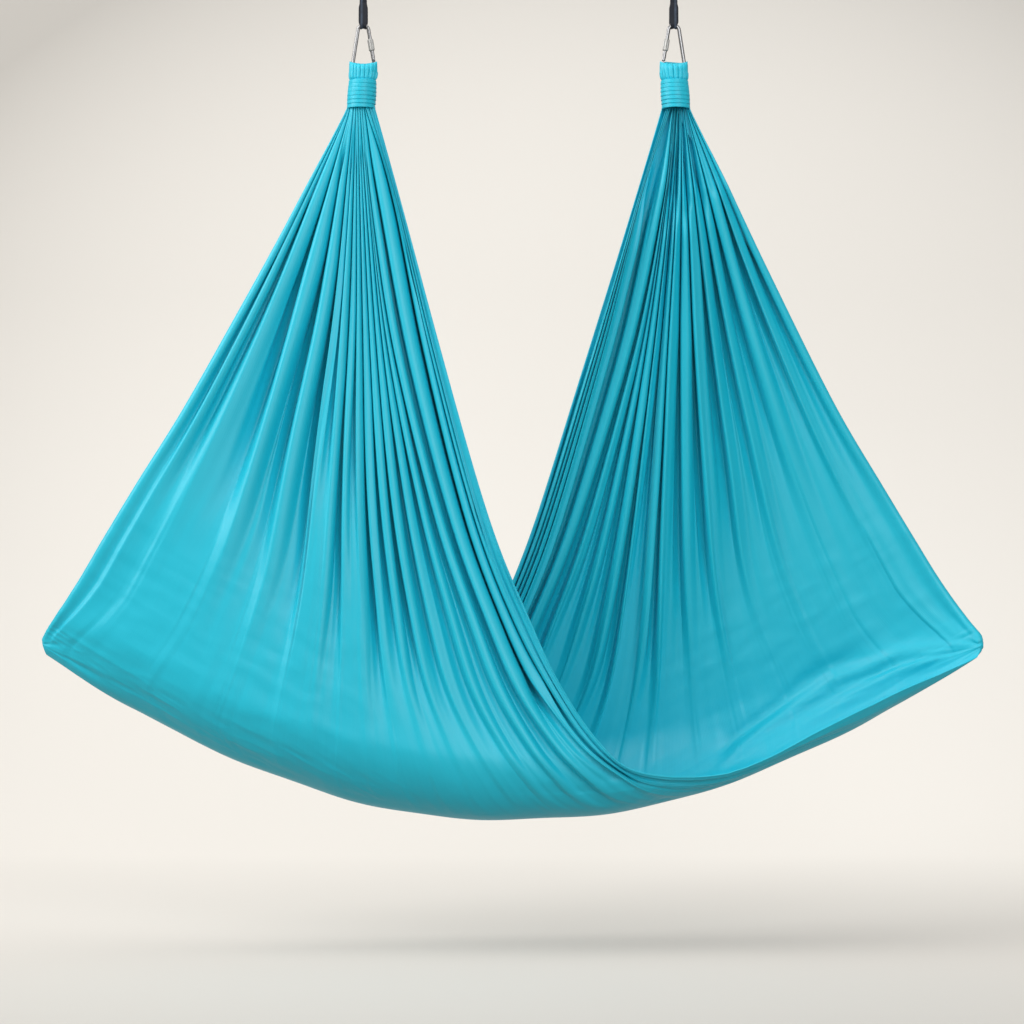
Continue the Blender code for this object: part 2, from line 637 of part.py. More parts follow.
def pocket_depth(x, depth):
    """How far a sheet stands off the hanging plane: widening downwards, round at the bottom fold."""
    half = POCKET_HALF_DEPTH * math.sqrt(max(1 - (x / TIP_HALF_SPAN) ** 2, 0.0))
    half = max(half, TIP_HALF_DEPTH)
    above = max(bottom_line(x) - depth, 0.0)
    if above < POCKET_ROUND:
        return half * math.sqrt(1 - (1 - above / POCKET_ROUND) ** 2)
    return half * max(depth, 0.0) / (bottom_line(x) - POCKET_ROUND)


def smooth_line(points, u):
    """Point of a smooth curve through the given ones, at u places along it."""
    ends = [2 * points[0] - points[1]] + list(points) + [2 * points[-1] - points[-2]]
    i = min(int(u), len(points) - 2)
    t = u - i
    a, b, c, d = ends[i:i + 4]
    slope = c - a
    bend = 2 * a - 5 * b + 4 * c - d
    twist = 3 * b - a - 3 * c + d
    return b + (slope * t + bend * t**2 + twist * t**3) / 2


def front_guides():
    """The guide lines of the front sheet, each from the gathered neck to the bottom fold."""
    neck_middle = -(MIDLINE + NECK_LEAN)
    guides = []
    for share, *inner in GUIDES:
        across = 2 * share - 1
        points = [Vector((neck_middle + across * NECK_HALF_WIDTH, 0))]
        for out, down in inner + [(across, 1)]:
            x = out * TIP_HALF_SPAN
            points.append(Vector((x, down * bottom_line(x))))
        guides.append(points)
    return guides


def across_guides(places, s):
    """Smooth curve through the places of unevenly spaced guides, at the share s of the width."""
    shares = [guide[0] for guide in GUIDES]
    steps = [b - a for a, b in zip(shares, shares[1:])]
    slopes = [(b - a) / step for a, b, step in zip(places, places[1:], steps)]
    i = max(k for k in range(len(steps)) if k == 0 or shares[k] <= s)
    tangents = []
    for k in (i, i + 1):
        if k in (0, len(steps)):
            tangents.append(slopes[min(k, len(slopes) - 1)])
        else:
            whole = steps[k - 1] + steps[k]
            tangents.append((slopes[k - 1] * steps[k] + slopes[k] * steps[k - 1]) / whole)
    t = (s - shares[i]) / steps[i]
    here = (1 + 2 * t) * (1 - t) ** 2 * places[i] + t * (1 - t) ** 2 * steps[i] * tangents[0]
    return here + t * t * (3 - 2 * t) * places[i + 1] + t * t * (t - 1) * steps[i] * tangents[1]


def row_shares():
    """Share of the way from neck to bottom fold of each row of a sheet."""
    shares = []
    for u in SHEET_ROWS:
        i = min(int(u), len(PLACE_SHARES) - 2)
        shares.append(PLACE_SHARES[i] + (u - i) * (PLACE_SHARES[i + 1] - PLACE_SHARES[i]))
    return shares


def base_cloth():
    """Smooth sheet from the left neck under the pocket to the right neck, as a grid of columns."""
    guides = front_guides()
    columns = 2 * FOLD_COUNT
    front_rows = [[smooth_line(guide, u) for guide in guides] for u in SHEET_ROWS]
    front = []
    for i in range(columns + 1):
        column = []
        for places in front_rows:
            flat = across_guides(places, i / columns)
            column.append(Vector((flat.x, -pocket_depth(flat.x, flat.y), -flat.y)))
        front.append(column)
    grid = []
    for i, column in enumerate(front):
        behind = [Vector((-p.x, -p.y, p.z)) for p in front[columns - i]]
        grid.append(column + behind[-2::-1])
    return grid


def grid_normal(grid, i, j):
    """Direction off the sheet, away from the pocket; level at the necks."""
    last = len(grid) - 1
    end = len(grid[0]) - 1
    across = grid[min(i + 1, last)][j] - grid[max(i - 1, 0)][j]
    along = grid[i][min(j + 1, end)] - grid[i][max(j - 1, 0)]
    normal = along.cross(across).normalized()
    level = Vector((0, -1 if j < end / 2 else 1, 0))
    near_neck = min(j, end - j) / 2
    return level.lerp(normal, ease(near_neck)).normalized()


def make_cloth(parent, material):
    """Pleated shell: every other column stands off the smooth sheet."""
    grid = base_cloth()
    columns = len(grid)
    rows = len(grid[0])
    shares = row_shares()
    layers = ([], [])
    for i in range(columns):
        across = 2 * i / (columns - 1) - 1
        for j in range(rows):
            t = shares[min(j, rows - 1 - j)]
            bundle = math.sqrt(1 - across**2 * (1 - ease(2 * t)) * 0.85)
            swing = BOTTOM_FOLD_DEPTH * min(1, 2.5 * (1 - abs(across)))
            swing += FOLD_DEPTH * bundle * (1 - t) ** 1.3
            fold = 2 * swing * (i % 2) - FOLD_DEPTH * (1 - t) ** 1.3
            shell = SHELL_THICKNESS + NECK_SHELL_EXTRA * (1 - t) ** 4
            normal = grid_normal(grid, i, j)
            sway = Vector((SWAY * ease(-grid[i][j].z), 0, 0))
            for layer, offset in zip(layers, (fold, fold + shell)):
                layer.append(grid[i][j] + sway + offset * normal)
    inner = len(layers[0])
    faces = []
    for i in range(columns - 1):
        for j in range(rows - 1):
            a, b = i * rows + j, (i + 1) * rows + j
            faces.append((a, a + 1, b + 1, b))
            faces.append((inner + a, inner + b, inner + b + 1, inner + a + 1))
    rim = [i * rows for i in range(columns)]
    rim += [(columns - 1) * rows + j for j in range(1, rows)]
    rim += [i * rows + rows - 1 for i in range(columns - 2, -1, -1)]
    rim += [j for j in range(rows - 2, 0, -1)]
    for a, b in zip(rim, rim[1:] + rim[:1]):
        faces.append((a, b, inner + b, inner + a))
    mesh = make_mesh("hammock_cloth", layers[0] + layers[1], faces, material, 60)
    return add_piece("hammock_cloth", mesh, parent, (MIDLINE, 0, NECK_BOTTOM))


# Assembly

def build():
    clear_scene()
    webbing = make_material("navy_webbing", (0.012, 0.016, 0.035), 0.75)
    steel = make_material("polished_steel", (0.62, 0.62, 0.60), 0.25, 1.0)
    knurled = make_material("lock_sleeve_steel", (0.45, 0.46, 0.47), 0.38, 1.0)
    cloth = make_material("teal_cloth", (0.021, 0.434, 0.591), 0.80)

    root = add_empty("hanging_points", (0, 0, 0))
    swing = add_empty("swing_axis", (0, 0, TOP_BAR_HEIGHT), root)

    strap_tack, strap_lower, strap_top = make_strap_mesh(webbing)
    sleeve_mesh = make_sleeve_mesh(knurled)
    rivet_mesh = make_rivet_mesh(steel)
    pin_mesh = make_latch_pin_mesh(steel)
    plunger_mesh = make_plunger_mesh(steel)
    rod, gate_cuts = make_gate_shapes()
    gate_mesh = make_mesh("gate", *rod, steel)
    cutters = {key: make_mesh("gate_" + key, *shape) for key, shape in gate_cuts.items()}

    for hand, side, hang in (("left", 1, 0.0), ("right", -1, HANG_SPACING)):
        strap = add_piece(hand + "_strap", strap_tack, root, (hang, 0, 0))
        cut(strap, strap_lower, "UNION")
        cut(strap, strap_top, "UNION")

        hanging = add_empty(hand + "_hanging", (hang, 0, 0), swing)
        make_frame(hand + "_carabiner_frame", side, hanging, steel)
        make_end_loop(hand + "_end_loop", side, hanging, cloth)
        wrap = wrap_rings(side)
        wrap_mesh = make_mesh(hand + "_neck_wrap", *loft(wrap), cloth, 65)
        add_piece(hand + "_neck_wrap", wrap_mesh, hanging, (0, 0, -BOTTOM_BAR_DEPTH))
        print(hand, "neck wrap, least gap to itself in mm:", round(1000 * least_self_gap(wrap), 2))

        hinge = add_empty(hand + "_gate_hinge", (side * HINGE.x, 0, HINGE.y), hanging)
        lean = -side * SIDE_LEAN
        add_piece(hand + "_hinge_rivet", rivet_mesh, hinge)
        gate = add_piece(hand + "_gate", gate_mesh, hinge, lean=lean)
        for cutter in cutters.values():
            cut(gate, cutter)
        add_piece(hand + "_latch_pin", pin_mesh, hinge, lean=lean)
        add_piece(hand + "_spring_plunger", plunger_mesh, hinge, lean=lean)
        add_tube(hand + "_gate_spring", spring_route(), SPRING_WIRE / 2, hinge, steel, lean=lean)
        add_piece(hand + "_lock_sleeve", sleeve_mesh, hinge, lean=lean)

    make_cloth(swing_frame(swing), cloth)


def swing_frame(swing):
    """Parent that puts the cloth back in the part's own frame."""
    return add_empty("cloth_frame", (0, 0, -TOP_BAR_HEIGHT), swing)


build()
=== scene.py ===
import math

import bpy
import numpy as np
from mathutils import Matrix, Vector


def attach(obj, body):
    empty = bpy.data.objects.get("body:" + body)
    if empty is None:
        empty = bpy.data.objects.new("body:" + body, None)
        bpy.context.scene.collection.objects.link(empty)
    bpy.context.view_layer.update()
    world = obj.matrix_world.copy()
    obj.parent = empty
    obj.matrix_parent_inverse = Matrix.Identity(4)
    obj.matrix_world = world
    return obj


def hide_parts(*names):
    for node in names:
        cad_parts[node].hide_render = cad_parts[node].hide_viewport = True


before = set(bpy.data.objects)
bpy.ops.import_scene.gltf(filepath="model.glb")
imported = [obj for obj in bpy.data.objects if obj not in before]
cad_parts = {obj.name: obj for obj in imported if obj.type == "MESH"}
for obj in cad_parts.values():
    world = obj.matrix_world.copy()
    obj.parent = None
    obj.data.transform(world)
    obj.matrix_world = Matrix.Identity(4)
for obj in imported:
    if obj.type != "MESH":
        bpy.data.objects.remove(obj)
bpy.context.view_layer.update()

# Layout in metres, as in the part's source
HANG_SPACING = 0.683
MIDLINE = HANG_SPACING / 2
BAR_RADIUS = 0.00425
TOP_BEND_RADIUS = 0.0118
TOP_BAR_HEIGHT = -0.128
BOTTOM_BAR_HEIGHT = -0.2295
FLOOR = -2.155

# Straps
STRAP_WIDTH = 0.020
STRAP_THICKNESS = 0.0025
STRAP_TACK_LENGTH = 0.030
STRAP_TACK_WIDTH = 0.016
STRAP_TUCK_WIDTH = 0.011
STRAP_TAPER_LENGTH = 0.0135
STRAP_FOLD_RADIUS = 0.0008
TOP_EYE_RADIUS = 0.0075
LOWER_EYE_RADIUS = 0.0062
LOWER_EYE_LENGTH = 0.050
EYE_GAP = 0.0003
# Painted highlight on the webbing: how far its lighter stripe lies outwards of each strap's middle
PAINTED_HIGHLIGHT_OFFSET = 0.0032
PLY_STEPS = 30
WEBBING_COLUMNS = 20

# End loops over the carabiners, and the necks under them
LOOP_HALF_WIDTH = 0.0312
LOOP_HALF_DEPTH = 0.021
LOOP_TOP_AT_SIDES = 0.0232
LOOP_TOP_AT_MIDDLE = 0.0176
LOOP_SHOULDER = 0.0193
GATHER_DEPTH = 0.0032
NECK_HEIGHT = 0.0616
NECK_LEAN = 0.005
NECK_BOTTOM = BOTTOM_BAR_HEIGHT - LOOP_SHOULDER - NECK_HEIGHT
NECK_HALF_WIDTH = 0.030
CORE_RADIUS = 0.0225

# Bands wound round the necks
WRAP_RADIUS = 0.0271
WRAP_BAND_THICKNESS = 0.0080
WRAP_BAND_HEIGHT = 0.00816
WRAP_PITCH = 0.00876
WRAP_LEVELS = 7
WRAP_STEP = (0.80, 0.93)
WRAP_GAP = 0.0006
WRAP_CROWN = 0.0013

# Outline and pocket of the hanging cloth
CLOTH_DROP = 1.565
TIP_HALF_SPAN = 1.037
FOLD_HALF_SPAN = 1.024
TIP_SAG = 0.015
TIP_RISE = 0.385
POCKET_HALF_DEPTH = 0.150
POCKET_ROUND = 0.150
TIP_HALF_DEPTH = 0.022
SWAY = -0.014

# Cloth: share of its width, then places down each guide line, across the midline and down from the neck
GUIDES = (
    (0.0, (-0.449, 0.141), (-0.572, 0.381), (-0.714, 0.649), (-0.822, 0.827), (-0.893, 0.944),
     (-0.949, 1.037), (-1.004, 1.119), (-1.019, 1.140), (-1.030, 1.157), (-1.036, 1.176)),
    (0.167, (-0.394, 0.166), (-0.442, 0.447), (-0.502, 0.763), (-0.545, 0.974), (-0.585, 1.112),
     (-0.624, 1.220), (-0.656, 1.312), (-0.663, 1.338), (-0.669, 1.360), (-0.675, 1.380)),
    (0.333, (-0.356, 0.178), (-0.355, 0.481), (-0.353, 0.822), (-0.350, 1.050), (-0.349, 1.203),
     (-0.348, 1.324), (-0.347, 1.425), (-0.346, 1.454), (-0.346, 1.477), (-0.346, 1.498)),
    (0.5, (-0.329, 0.189), (-0.294, 0.509), (-0.242, 0.869), (-0.198, 1.108), (-0.159, 1.265),
     (-0.107, 1.384), (-0.053, 1.476), (-0.037, 1.502), (-0.024, 1.523), (-0.013, 1.542)),
    (0.625, (-0.307, 0.198), (-0.242, 0.528), (-0.137, 0.902), (-0.049, 1.133), (0.017, 1.283),
     (0.097, 1.408), (0.171, 1.481), (0.196, 1.498), (0.220, 1.514), (0.240, 1.525)),
    (0.66, (-0.279, 0.198), (-0.207, 0.528), (-0.106, 0.902), (-0.022, 1.126), (0.046, 1.269),
     (0.134, 1.390), (0.233, 1.470), (0.264, 1.492), (0.292, 1.507), (0.314, 1.518)),
    (0.72, (-0.272, 0.198), (-0.191, 0.528), (-0.086, 0.902), (-0.003, 1.120), (0.070, 1.263),
     (0.156, 1.382), (0.259, 1.463), (0.323, 1.487), (0.372, 1.496), (0.416, 1.496)),
    (0.8, (-0.267, 0.198), (-0.180, 0.528), (-0.073, 0.902), (0.011, 1.118), (0.083, 1.258),
     (0.167, 1.379), (0.259, 1.456), (0.356, 1.481), (0.446, 1.476), (0.539, 1.454)),
    (0.9, (-0.264, 0.198), (-0.172, 0.528), (-0.060, 0.902), (0.024, 1.115), (0.090, 1.256),
     (0.171, 1.375), (0.262, 1.450), (0.387, 1.472), (0.523, 1.449), (0.677, 1.385)),
    (1.0, (-0.260, 0.198), (-0.165, 0.528), (-0.051, 0.902), (0.033, 1.113), (0.097, 1.252),
     (0.178, 1.371), (0.264, 1.443), (0.407, 1.461), (0.556, 1.427), (0.765, 1.315)),
)

# How far down the sheet the guides' stations lie, and about how long the sheet is between them
STATION_SHARES = (0, 0.117, 0.316, 0.54, 0.69, 0.79, 0.87, 0.936, 0.955, 0.97, 0.984, 1)
STATION_LENGTHS = (0.20, 0.35, 0.40, 0.25, 0.16, 0.15, 0.12, 0.14, 0.17, 0.23, 0.28)

# The flat sheet
CLOTH_WIDTH = 2.27

# Its mesh: columns with finer ones along both edges, rows, and the ends that are tucked into the necks
COLUMNS = 600
FINE_EDGE = 0.012
EDGE_COLUMNS = 25
TABLE_COLUMNS = 501
EDGE_STEP = 10
ROW_SPACING = 0.0125
TUCKED_SCALE = (0.66, 0.5, 0)
TUCKED_RISE = 0.012

# Rolled outer edge and turned hem
EDGE_ROLL_LENGTH = 0.034
EDGE_ROLL_RADIUS = 0.011
EDGE_ROLL_SHARE = EDGE_ROLL_LENGTH / CLOTH_WIDTH
HEM_WIDTH = 0.020
HEM_PLY = 0.0012
HEM_ROLL_LENGTH = 0.0045
HEM_ROLL_RADIUS = 0.0016

# Folds: how sharp their valleys are and how far they lean, how far they stand off and reach in at most, and
# the share of the way down from where the two sheets run into one
VALLEY_PINCH = 1.45
FOLD_LEAN = 0.42
GATHER_HEIGHT = 0.021
NECK_VALLEY_CAP = 0.030
VALLEY_CAP = 0.076
MEETING_FROM = 0.985

# Heights of the small folds and wrinkles
LONG_FOLD = 0.0016
NARROW_FOLD = 0.0008
BILLOW = 0.0035
WIDE_CREASE = 0.0016
NARROW_CREASE = 0.0010
TENSION_FOLD = 0.0042
TENSION_WRINKLE = 0.0012
PUCKER = 0.0020
LOW_RIPPLE = 0.0035

# Shares of the width: the hem's own fold, and where the slack part and the strip along the hem begin
HEM_FOLD = 0.735
SLACK_FROM = 0.64
HEM_STRIP_FROM = 0.85

# Valleys between the folds of each sheet: share of the width, how full of cloth, where they start to fade and
# where they end, and the least depth until then
FRONT_VALLEYS = (
    (0.012, 1.6, 0.90, 0.995, 0.007), (0.034, 1.3, 0.50, 0.93, 0.003), (0.100, 1.3, 0.50, 0.95, 0.001),
    (0.163, 1.2, 0.50, 0.93, 0.0), (0.230, 1.3, 0.55, 0.95, 0.002), (0.268, 0.9, 0.30, 0.70, 0.0),
    (0.307, 1.4, 0.58, 0.97, 0.003), (0.345, 0.9, 0.35, 0.76, 0.0), (0.382, 1.4, 0.60, 0.96, 0.003),
    (0.425, 1.1, 0.52, 0.93, 0.001), (0.466, 1.3, 0.62, 0.96, 0.003), (0.505, 1.2, 0.68, 0.98, 0.003),
    (0.543, 1.3, 0.80, 0.985, 0.005), (0.580, 1.2, 0.86, 0.99, 0.006), (0.618, 1.1, 0.92, 0.996, 0.011),
    (0.662, 1.2, 0.95, 0.998, 0.014), (HEM_FOLD, 1.0, 0.94, 0.998, 0.012), (0.795, 0.7, 0.35, 0.62, 0.0),
    (0.840, 0.03, 0.92, 0.990, 0.004),
)
BACK_VALLEYS = (
    (0.012, 1.5, 0.85, 0.99, 0.005), (0.045, 1.2, 0.65, 0.98, 0.001), (0.0985, 1.0, 0.48, 0.93, 0.0),
    (0.1435, 1.1, 0.55, 0.96, 0.001), (0.193, 1.0, 0.52, 0.92, 0.0), (0.250, 1.2, 0.58, 0.96, 0.002),
    (0.306, 1.0, 0.58, 0.95, 0.001), (0.365, 1.3, 0.68, 0.97, 0.003), (0.405, 0.8, 0.40, 0.80, 0.0),
    (0.450, 1.2, 0.70, 0.97, 0.002), (0.498, 1.0, 0.60, 0.93, 0.001), (0.545, 0.9, 0.55, 0.90, 0.0),
    (0.590, 1.2, 0.70, 0.97, 0.003), (0.640, 1.0, 0.72, 0.98, 0.002), (0.690, 1.1, 0.76, 0.99, 0.003),
    (0.745, 1.0, 0.76, 0.99, 0.003), (0.810, 0.9, 0.76, 0.99, 0.003), (0.880, 0.9, 0.76, 0.99, 0.002),
)

# Long soft folds that sweep from the pocket to the right tip: height, half width, and places from the midline
# and down from the necks
SWEEPS = (
    (0.010, 0.017, (0.430, 1.470), (0.500, 1.425), (0.574, 1.373), (0.724, 1.262), (0.860, 1.203),
     (0.985, 1.178)),
    (0.009, 0.015, (0.480, 1.455), (0.560, 1.415), (0.642, 1.366), (0.760, 1.296), (0.865, 1.240),
     (0.994, 1.192)),
    (-0.007, 0.014, (0.440, 1.450), (0.490, 1.396), (0.560, 1.350), (0.700, 1.240), (0.800, 1.195)),
)


def ease(value):
    """Smooth step from 0 to 1."""
    value = np.clip(value, 0, 1)
    return value * value * (3 - 2 * value)


# Camera

camera_data = bpy.data.cameras.new("camera")
camera_data.lens = 95.9
camera_data.sensor_width = 36
camera_data.clip_end = 60
camera = bpy.data.objects.new("camera", camera_data)
camera.location = (0.3272, -6.0, -1.198)
camera.rotation_euler = (math.pi / 2, 0, 0)
bpy.context.collection.objects.link(camera)
bpy.context.scene.camera = camera


# Meshes

def grid_faces(rows, columns, first=0, round_columns=False):
    """Quads between the rows of a grid; the columns may close on themselves."""
    across = np.arange(columns if round_columns else columns - 1)
    down = np.arange(rows - 1)[:, None]
    after = (across + 1) % columns
    a = down * columns + across
    b = down * columns + after
    return (first + np.stack([a, b, b + columns, a + columns], -1)).reshape(-1, 4)


def closed_faces(rows, columns):
    """Faces of a round grid with its first and last row closed."""
    faces = list(grid_faces(rows, columns, round_columns=True))
    faces.append(list(range(columns))[::-1])
    faces.append([(rows - 1) * columns + i for i in range(columns)])
    return faces


def make_mesh(name, points, faces, material, uv=None, crease=None):
    mesh = bpy.data.meshes.new(name)
    mesh.from_pydata(np.asarray(points).tolist(), [], [list(map(int, face)) for face in faces])
    mesh.materials.append(material)
    if uv is not None:
        corners = np.empty(len(mesh.loops), dtype=np.int32)
        mesh.loops.foreach_get("vertex_index", corners)
        layer = mesh.uv_layers.new(name="cloth_metres")
        layer.data.foreach_set("uv", np.asarray(uv, dtype=np.float32)[corners].ravel())
    mesh.shade_smooth()
    if crease is not None:
        mesh.set_sharp_from_angle(angle=math.radians(crease))
    return mesh


def add_piece(name, mesh, body, nodes=()):
    piece = bpy.data.objects.new(name, mesh)
    bpy.context.collection.objects.link(piece)
    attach(piece, body)
    if nodes:
        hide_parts(*nodes)
    return piece


# Materials

def new_material(name, colour, roughness, metallic=0.0):
    material = bpy.data.materials.new(name)
    material.use_nodes = True
    shader = material.node_tree.nodes["Principled BSDF"]
    shader.inputs["Base Color"].default_value = (*colour, 1)
    shader.inputs["Roughness"].default_value = roughness
    shader.inputs["Metallic"].default_value = metallic
    material.diffuse_color = (*colour, 1)
    return material, shader


class Nodes:
    """Short hand for the node tree of a material or of the world."""

    def __init__(self, owner):
        self.tree = owner.node_tree
        self.shader = self.tree.nodes.get("Principled BSDF")

    def add(self, kind, inputs=None, **settings):
        node = self.tree.nodes.new(kind)
        for key, value in settings.items():
            setattr(node, key, value)
        for key, value in (inputs or {}).items():
            if isinstance(value, bpy.types.NodeSocket):
                self.tree.links.new(value, node.inputs[key])
            else:
                node.inputs[key].default_value = value
        return node

    def math(self, operation, first, second=0.0):
        return self.add("ShaderNodeMath", {0: first, 1: second}, operation=operation).outputs[0]

    def between(self, factor, low, high, start=0.0, stop=1.0):
        """Turns start to stop into low to high."""
        return self.add("ShaderNodeMapRange", {"Value": factor, "From Min": start, "From Max": stop,
                                               "To Min": low, "To Max": high}).outputs[0]

    def place(self):
        return self.add("ShaderNodeTexCoord").outputs["Object"]

    def stretched(self, place, scale):
        return self.add("ShaderNodeMapping", {"Vector": place, "Scale": scale}).outputs[0]

    def noise(self, place, scale, detail):
        return self.add("ShaderNodeTexNoise", {"Vector": place, "Scale": scale, "Detail": detail}).outputs[0]

    def wave(self, place, scale, distortion, direction):
        inputs = {"Vector": place, "Scale": scale, "Distortion": distortion, "Detail": 1.0}
        return self.add("ShaderNodeTexWave", inputs, wave_type="BANDS", bands_direction=direction).outputs[1]

    def seen(self):
        """1 where the camera looks, straight or by way of metal or glass, and 0 for light on the object."""
        ray = self.add("ShaderNodeLightPath").outputs
        by_way = self.math("MAXIMUM", ray["Is Glossy Ray"], ray["Is Transmission Ray"])
        return self.math("MAXIMUM", ray["Is Camera Ray"], by_way)

    def mix(self, factor, first, second):
        node = self.tree.nodes.new("ShaderNodeMix")
        node.data_type = "RGBA"
        for socket, value in ((node.inputs[0], factor), (node.inputs[6], first), (node.inputs[7], second)):
            if isinstance(value, bpy.types.NodeSocket):
                self.tree.links.new(value, socket)
            else:
                socket.default_value = value if isinstance(value, float) else (*value, 1)
        return node.outputs[2]

    def link(self, source, key):
        self.tree.links.new(source, self.shader.inputs[key])

    def bump(self, height, distance, strength=1.0):
        node = self.add("ShaderNodeBump", {"Strength": strength, "Distance": distance, "Height": height})
        self.link(node.outputs[0], "Normal")


def cloth_material(name):
    """Fine warp knit with a soft sheen, slightly uneven dye and faint wales along its length."""
    material, shader = new_material(name, (0.005, 0.430, 0.568), 0.46)
    shader.inputs["Sheen Weight"].default_value = 0.05
    shader.inputs["Sheen Roughness"].default_value = 0.35
    shader.inputs["Sheen Tint"].default_value = (0.55, 0.90, 1.0, 1)
    shader.inputs["Specular IOR Level"].default_value = 0.42
    n = Nodes(material)
    uv = n.add("ShaderNodeUVMap", uv_map="cloth_metres").outputs[0]
    place = n.place()
    patches = n.noise(place, 3.5, 3.0)
    streaks = n.noise(n.stretched(uv, (260.0, 6.0, 1.0)), 1.0, 2.0)
    mottle = n.math("ADD", n.math("MULTIPLY", patches, 0.65), n.math("MULTIPLY", streaks, 0.35))
    colour = n.mix(mottle, (0.003, 0.398, 0.535), (0.007, 0.466, 0.605))
    n.link(colour, "Base Color")
    wales = n.wave(uv, 110.0, 0.4, "X")
    courses = n.wave(uv, 140.0, 0.6, "Y")
    knit = n.math("ADD", n.math("MULTIPLY", wales, 0.6), n.math("MULTIPLY", courses, 0.4))
    fibres = n.noise(place, 420.0, 3.0)
    relief = n.math("ADD", knit, n.math("MULTIPLY", fibres, 0.7))
    wear = n.math("ADD", n.math("MULTIPLY", patches, 0.5), n.math("MULTIPLY", fibres, 0.5))
    n.link(n.between(wear, 0.38, 0.52), "Roughness")
    n.bump(relief, 0.00025, 0.35)
    return material


def webbing_material(name):
    """Flat woven polyester: fine ribs across and along the tape; a narrow lighter streak is a painted
    highlight.
    """
    material, shader = new_material(name, (0.014, 0.020, 0.042), 0.62)
    shader.inputs["Specular IOR Level"].default_value = 0.3
    n = Nodes(material)
    uv = n.add("ShaderNodeUVMap", uv_map="cloth_metres").outputs[0]
    place = n.place()
    x = n.add("ShaderNodeSeparateXYZ", {"Vector": place}).outputs[0]
    # Painted highlight: a narrow lighter stripe just outwards of each strap's middle, in place of light on the
    # webbing
    off_left = n.math("ABSOLUTE", n.math("ADD", x, PAINTED_HIGHLIGHT_OFFSET))
    off_right = n.math("ABSOLUTE", n.math("SUBTRACT", x, HANG_SPACING + PAINTED_HIGHLIGHT_OFFSET))
    painted_highlight = n.between(n.math("MINIMUM", off_left, off_right), 1.0, 0.0, 0.0006, 0.0034)
    picks = n.wave(uv, 220.0, 0.5, "Y")
    ends = n.wave(uv, 330.0, 0.3, "X")
    weave = n.math("MULTIPLY", n.math("ADD", picks, 0.4), n.math("ADD", ends, 0.4))
    worn = n.noise(place, 120.0, 4.0)
    colour = n.mix(n.math("MULTIPLY", weave, worn), (0.0015, 0.0025, 0.006), (0.007, 0.010, 0.020))
    # Colour of the painted highlight, broken up by the same noise that varies the weave's tone and roughness
    colour = n.mix(n.math("MULTIPLY", painted_highlight, worn), colour, (0.075, 0.105, 0.155))
    n.link(colour, "Base Color")
    n.link(n.between(worn, 0.50, 0.80), "Roughness")
    n.bump(weave, 0.0004, 0.7)
    return material


def steel_material(name, colour, roughness, scratches):
    """Tumble polished steel: faint upright scratches, duller worn patches."""
    material = new_material(name, colour, roughness, 1.0)[0]
    n = Nodes(material)
    place = n.place()
    fine = n.noise(n.stretched(place, (900.0, 900.0, 40.0)), 1.0, 3.0)
    patches = n.noise(place, 60.0, 4.0)
    dark = tuple(0.72 * c for c in colour)
    bright = tuple(min(1.15 * c, 1) for c in colour)
    n.link(n.mix(n.math("MULTIPLY", fine, patches), dark, bright), "Base Color")
    n.link(n.between(patches, roughness - 0.08, roughness + 0.12), "Roughness")
    n.bump(fine, 0.00006, scratches)
    return material


teal = cloth_material("teal_knit_cloth")
navy = webbing_material("navy_woven_webbing")
steel = steel_material("polished_carabiner_steel", (0.25, 0.25, 0.255), 0.20, 0.18)
sleeve_steel = steel_material("satin_sleeve_steel", (0.34, 0.34, 0.33), 0.42, 0.3)
spring_steel = steel_material("spring_wire_steel", (0.28, 0.28, 0.29), 0.32, 0.3)


# Shape of the cloth between the necks

def bottom_line(x):
    """Depth of the bottom fold below the necks, across the midline."""
    return CLOTH_DROP - TIP_RISE * (x / TIP_HALF_SPAN) ** 2 + TIP_SAG * ease((np.abs(x) - 0.80) / 0.18)


def pocket_depth(x, depth):
    """How far a sheet stands off the hanging plane: widening downwards, round at the bottom fold."""
    half = POCKET_HALF_DEPTH * np.sqrt(np.maximum(1 - (x / TIP_HALF_SPAN) ** 2, 0))
    half = np.maximum(half, TIP_HALF_DEPTH)
    above = np.maximum(bottom_line(x) - depth, 0)
    near = half * np.sqrt(np.maximum(1 - (1 - np.minimum(above / POCKET_ROUND, 1)) ** 2, 0))
    far = half * np.maximum(depth, 0) / (bottom_line(x) - POCKET_ROUND)
    return np.where(above < POCKET_ROUND, near, far)


def guide_stations():
    """Each guide's share of the width, and its places from the neck to the bottom fold."""
    lines = []
    for share, *inner in GUIDES:
        across = 2 * share - 1
        x = across * FOLD_HALF_SPAN
        start = (-(MIDLINE + NECK_LEAN) + across * NECK_HALF_WIDTH, 0.0)
        lines.append([start, *inner, (x, bottom_line(x))])
    return np.array([line[0] for line in GUIDES]), np.array(lines)


def down_the_guides(lines, places):
    """Smooth lines through each guide's stations, at places from 0 to the last station."""
    ends = np.concatenate([2 * lines[:, :1] - lines[:, 1:2], lines, 2 * lines[:, -1:] - lines[:, -2:-1]], 1)
    i = np.clip(np.floor(places).astype(int), 0, lines.shape[1] - 2)
    t = (places - i)[None, :, None]
    a, b, c, d = (ends[:, i + k] for k in range(4))
    return b + ((c - a) * t + (2 * a - 5 * b + 4 * c - d) * t**2 + (3 * b - a - 3 * c + d) * t**3) / 2


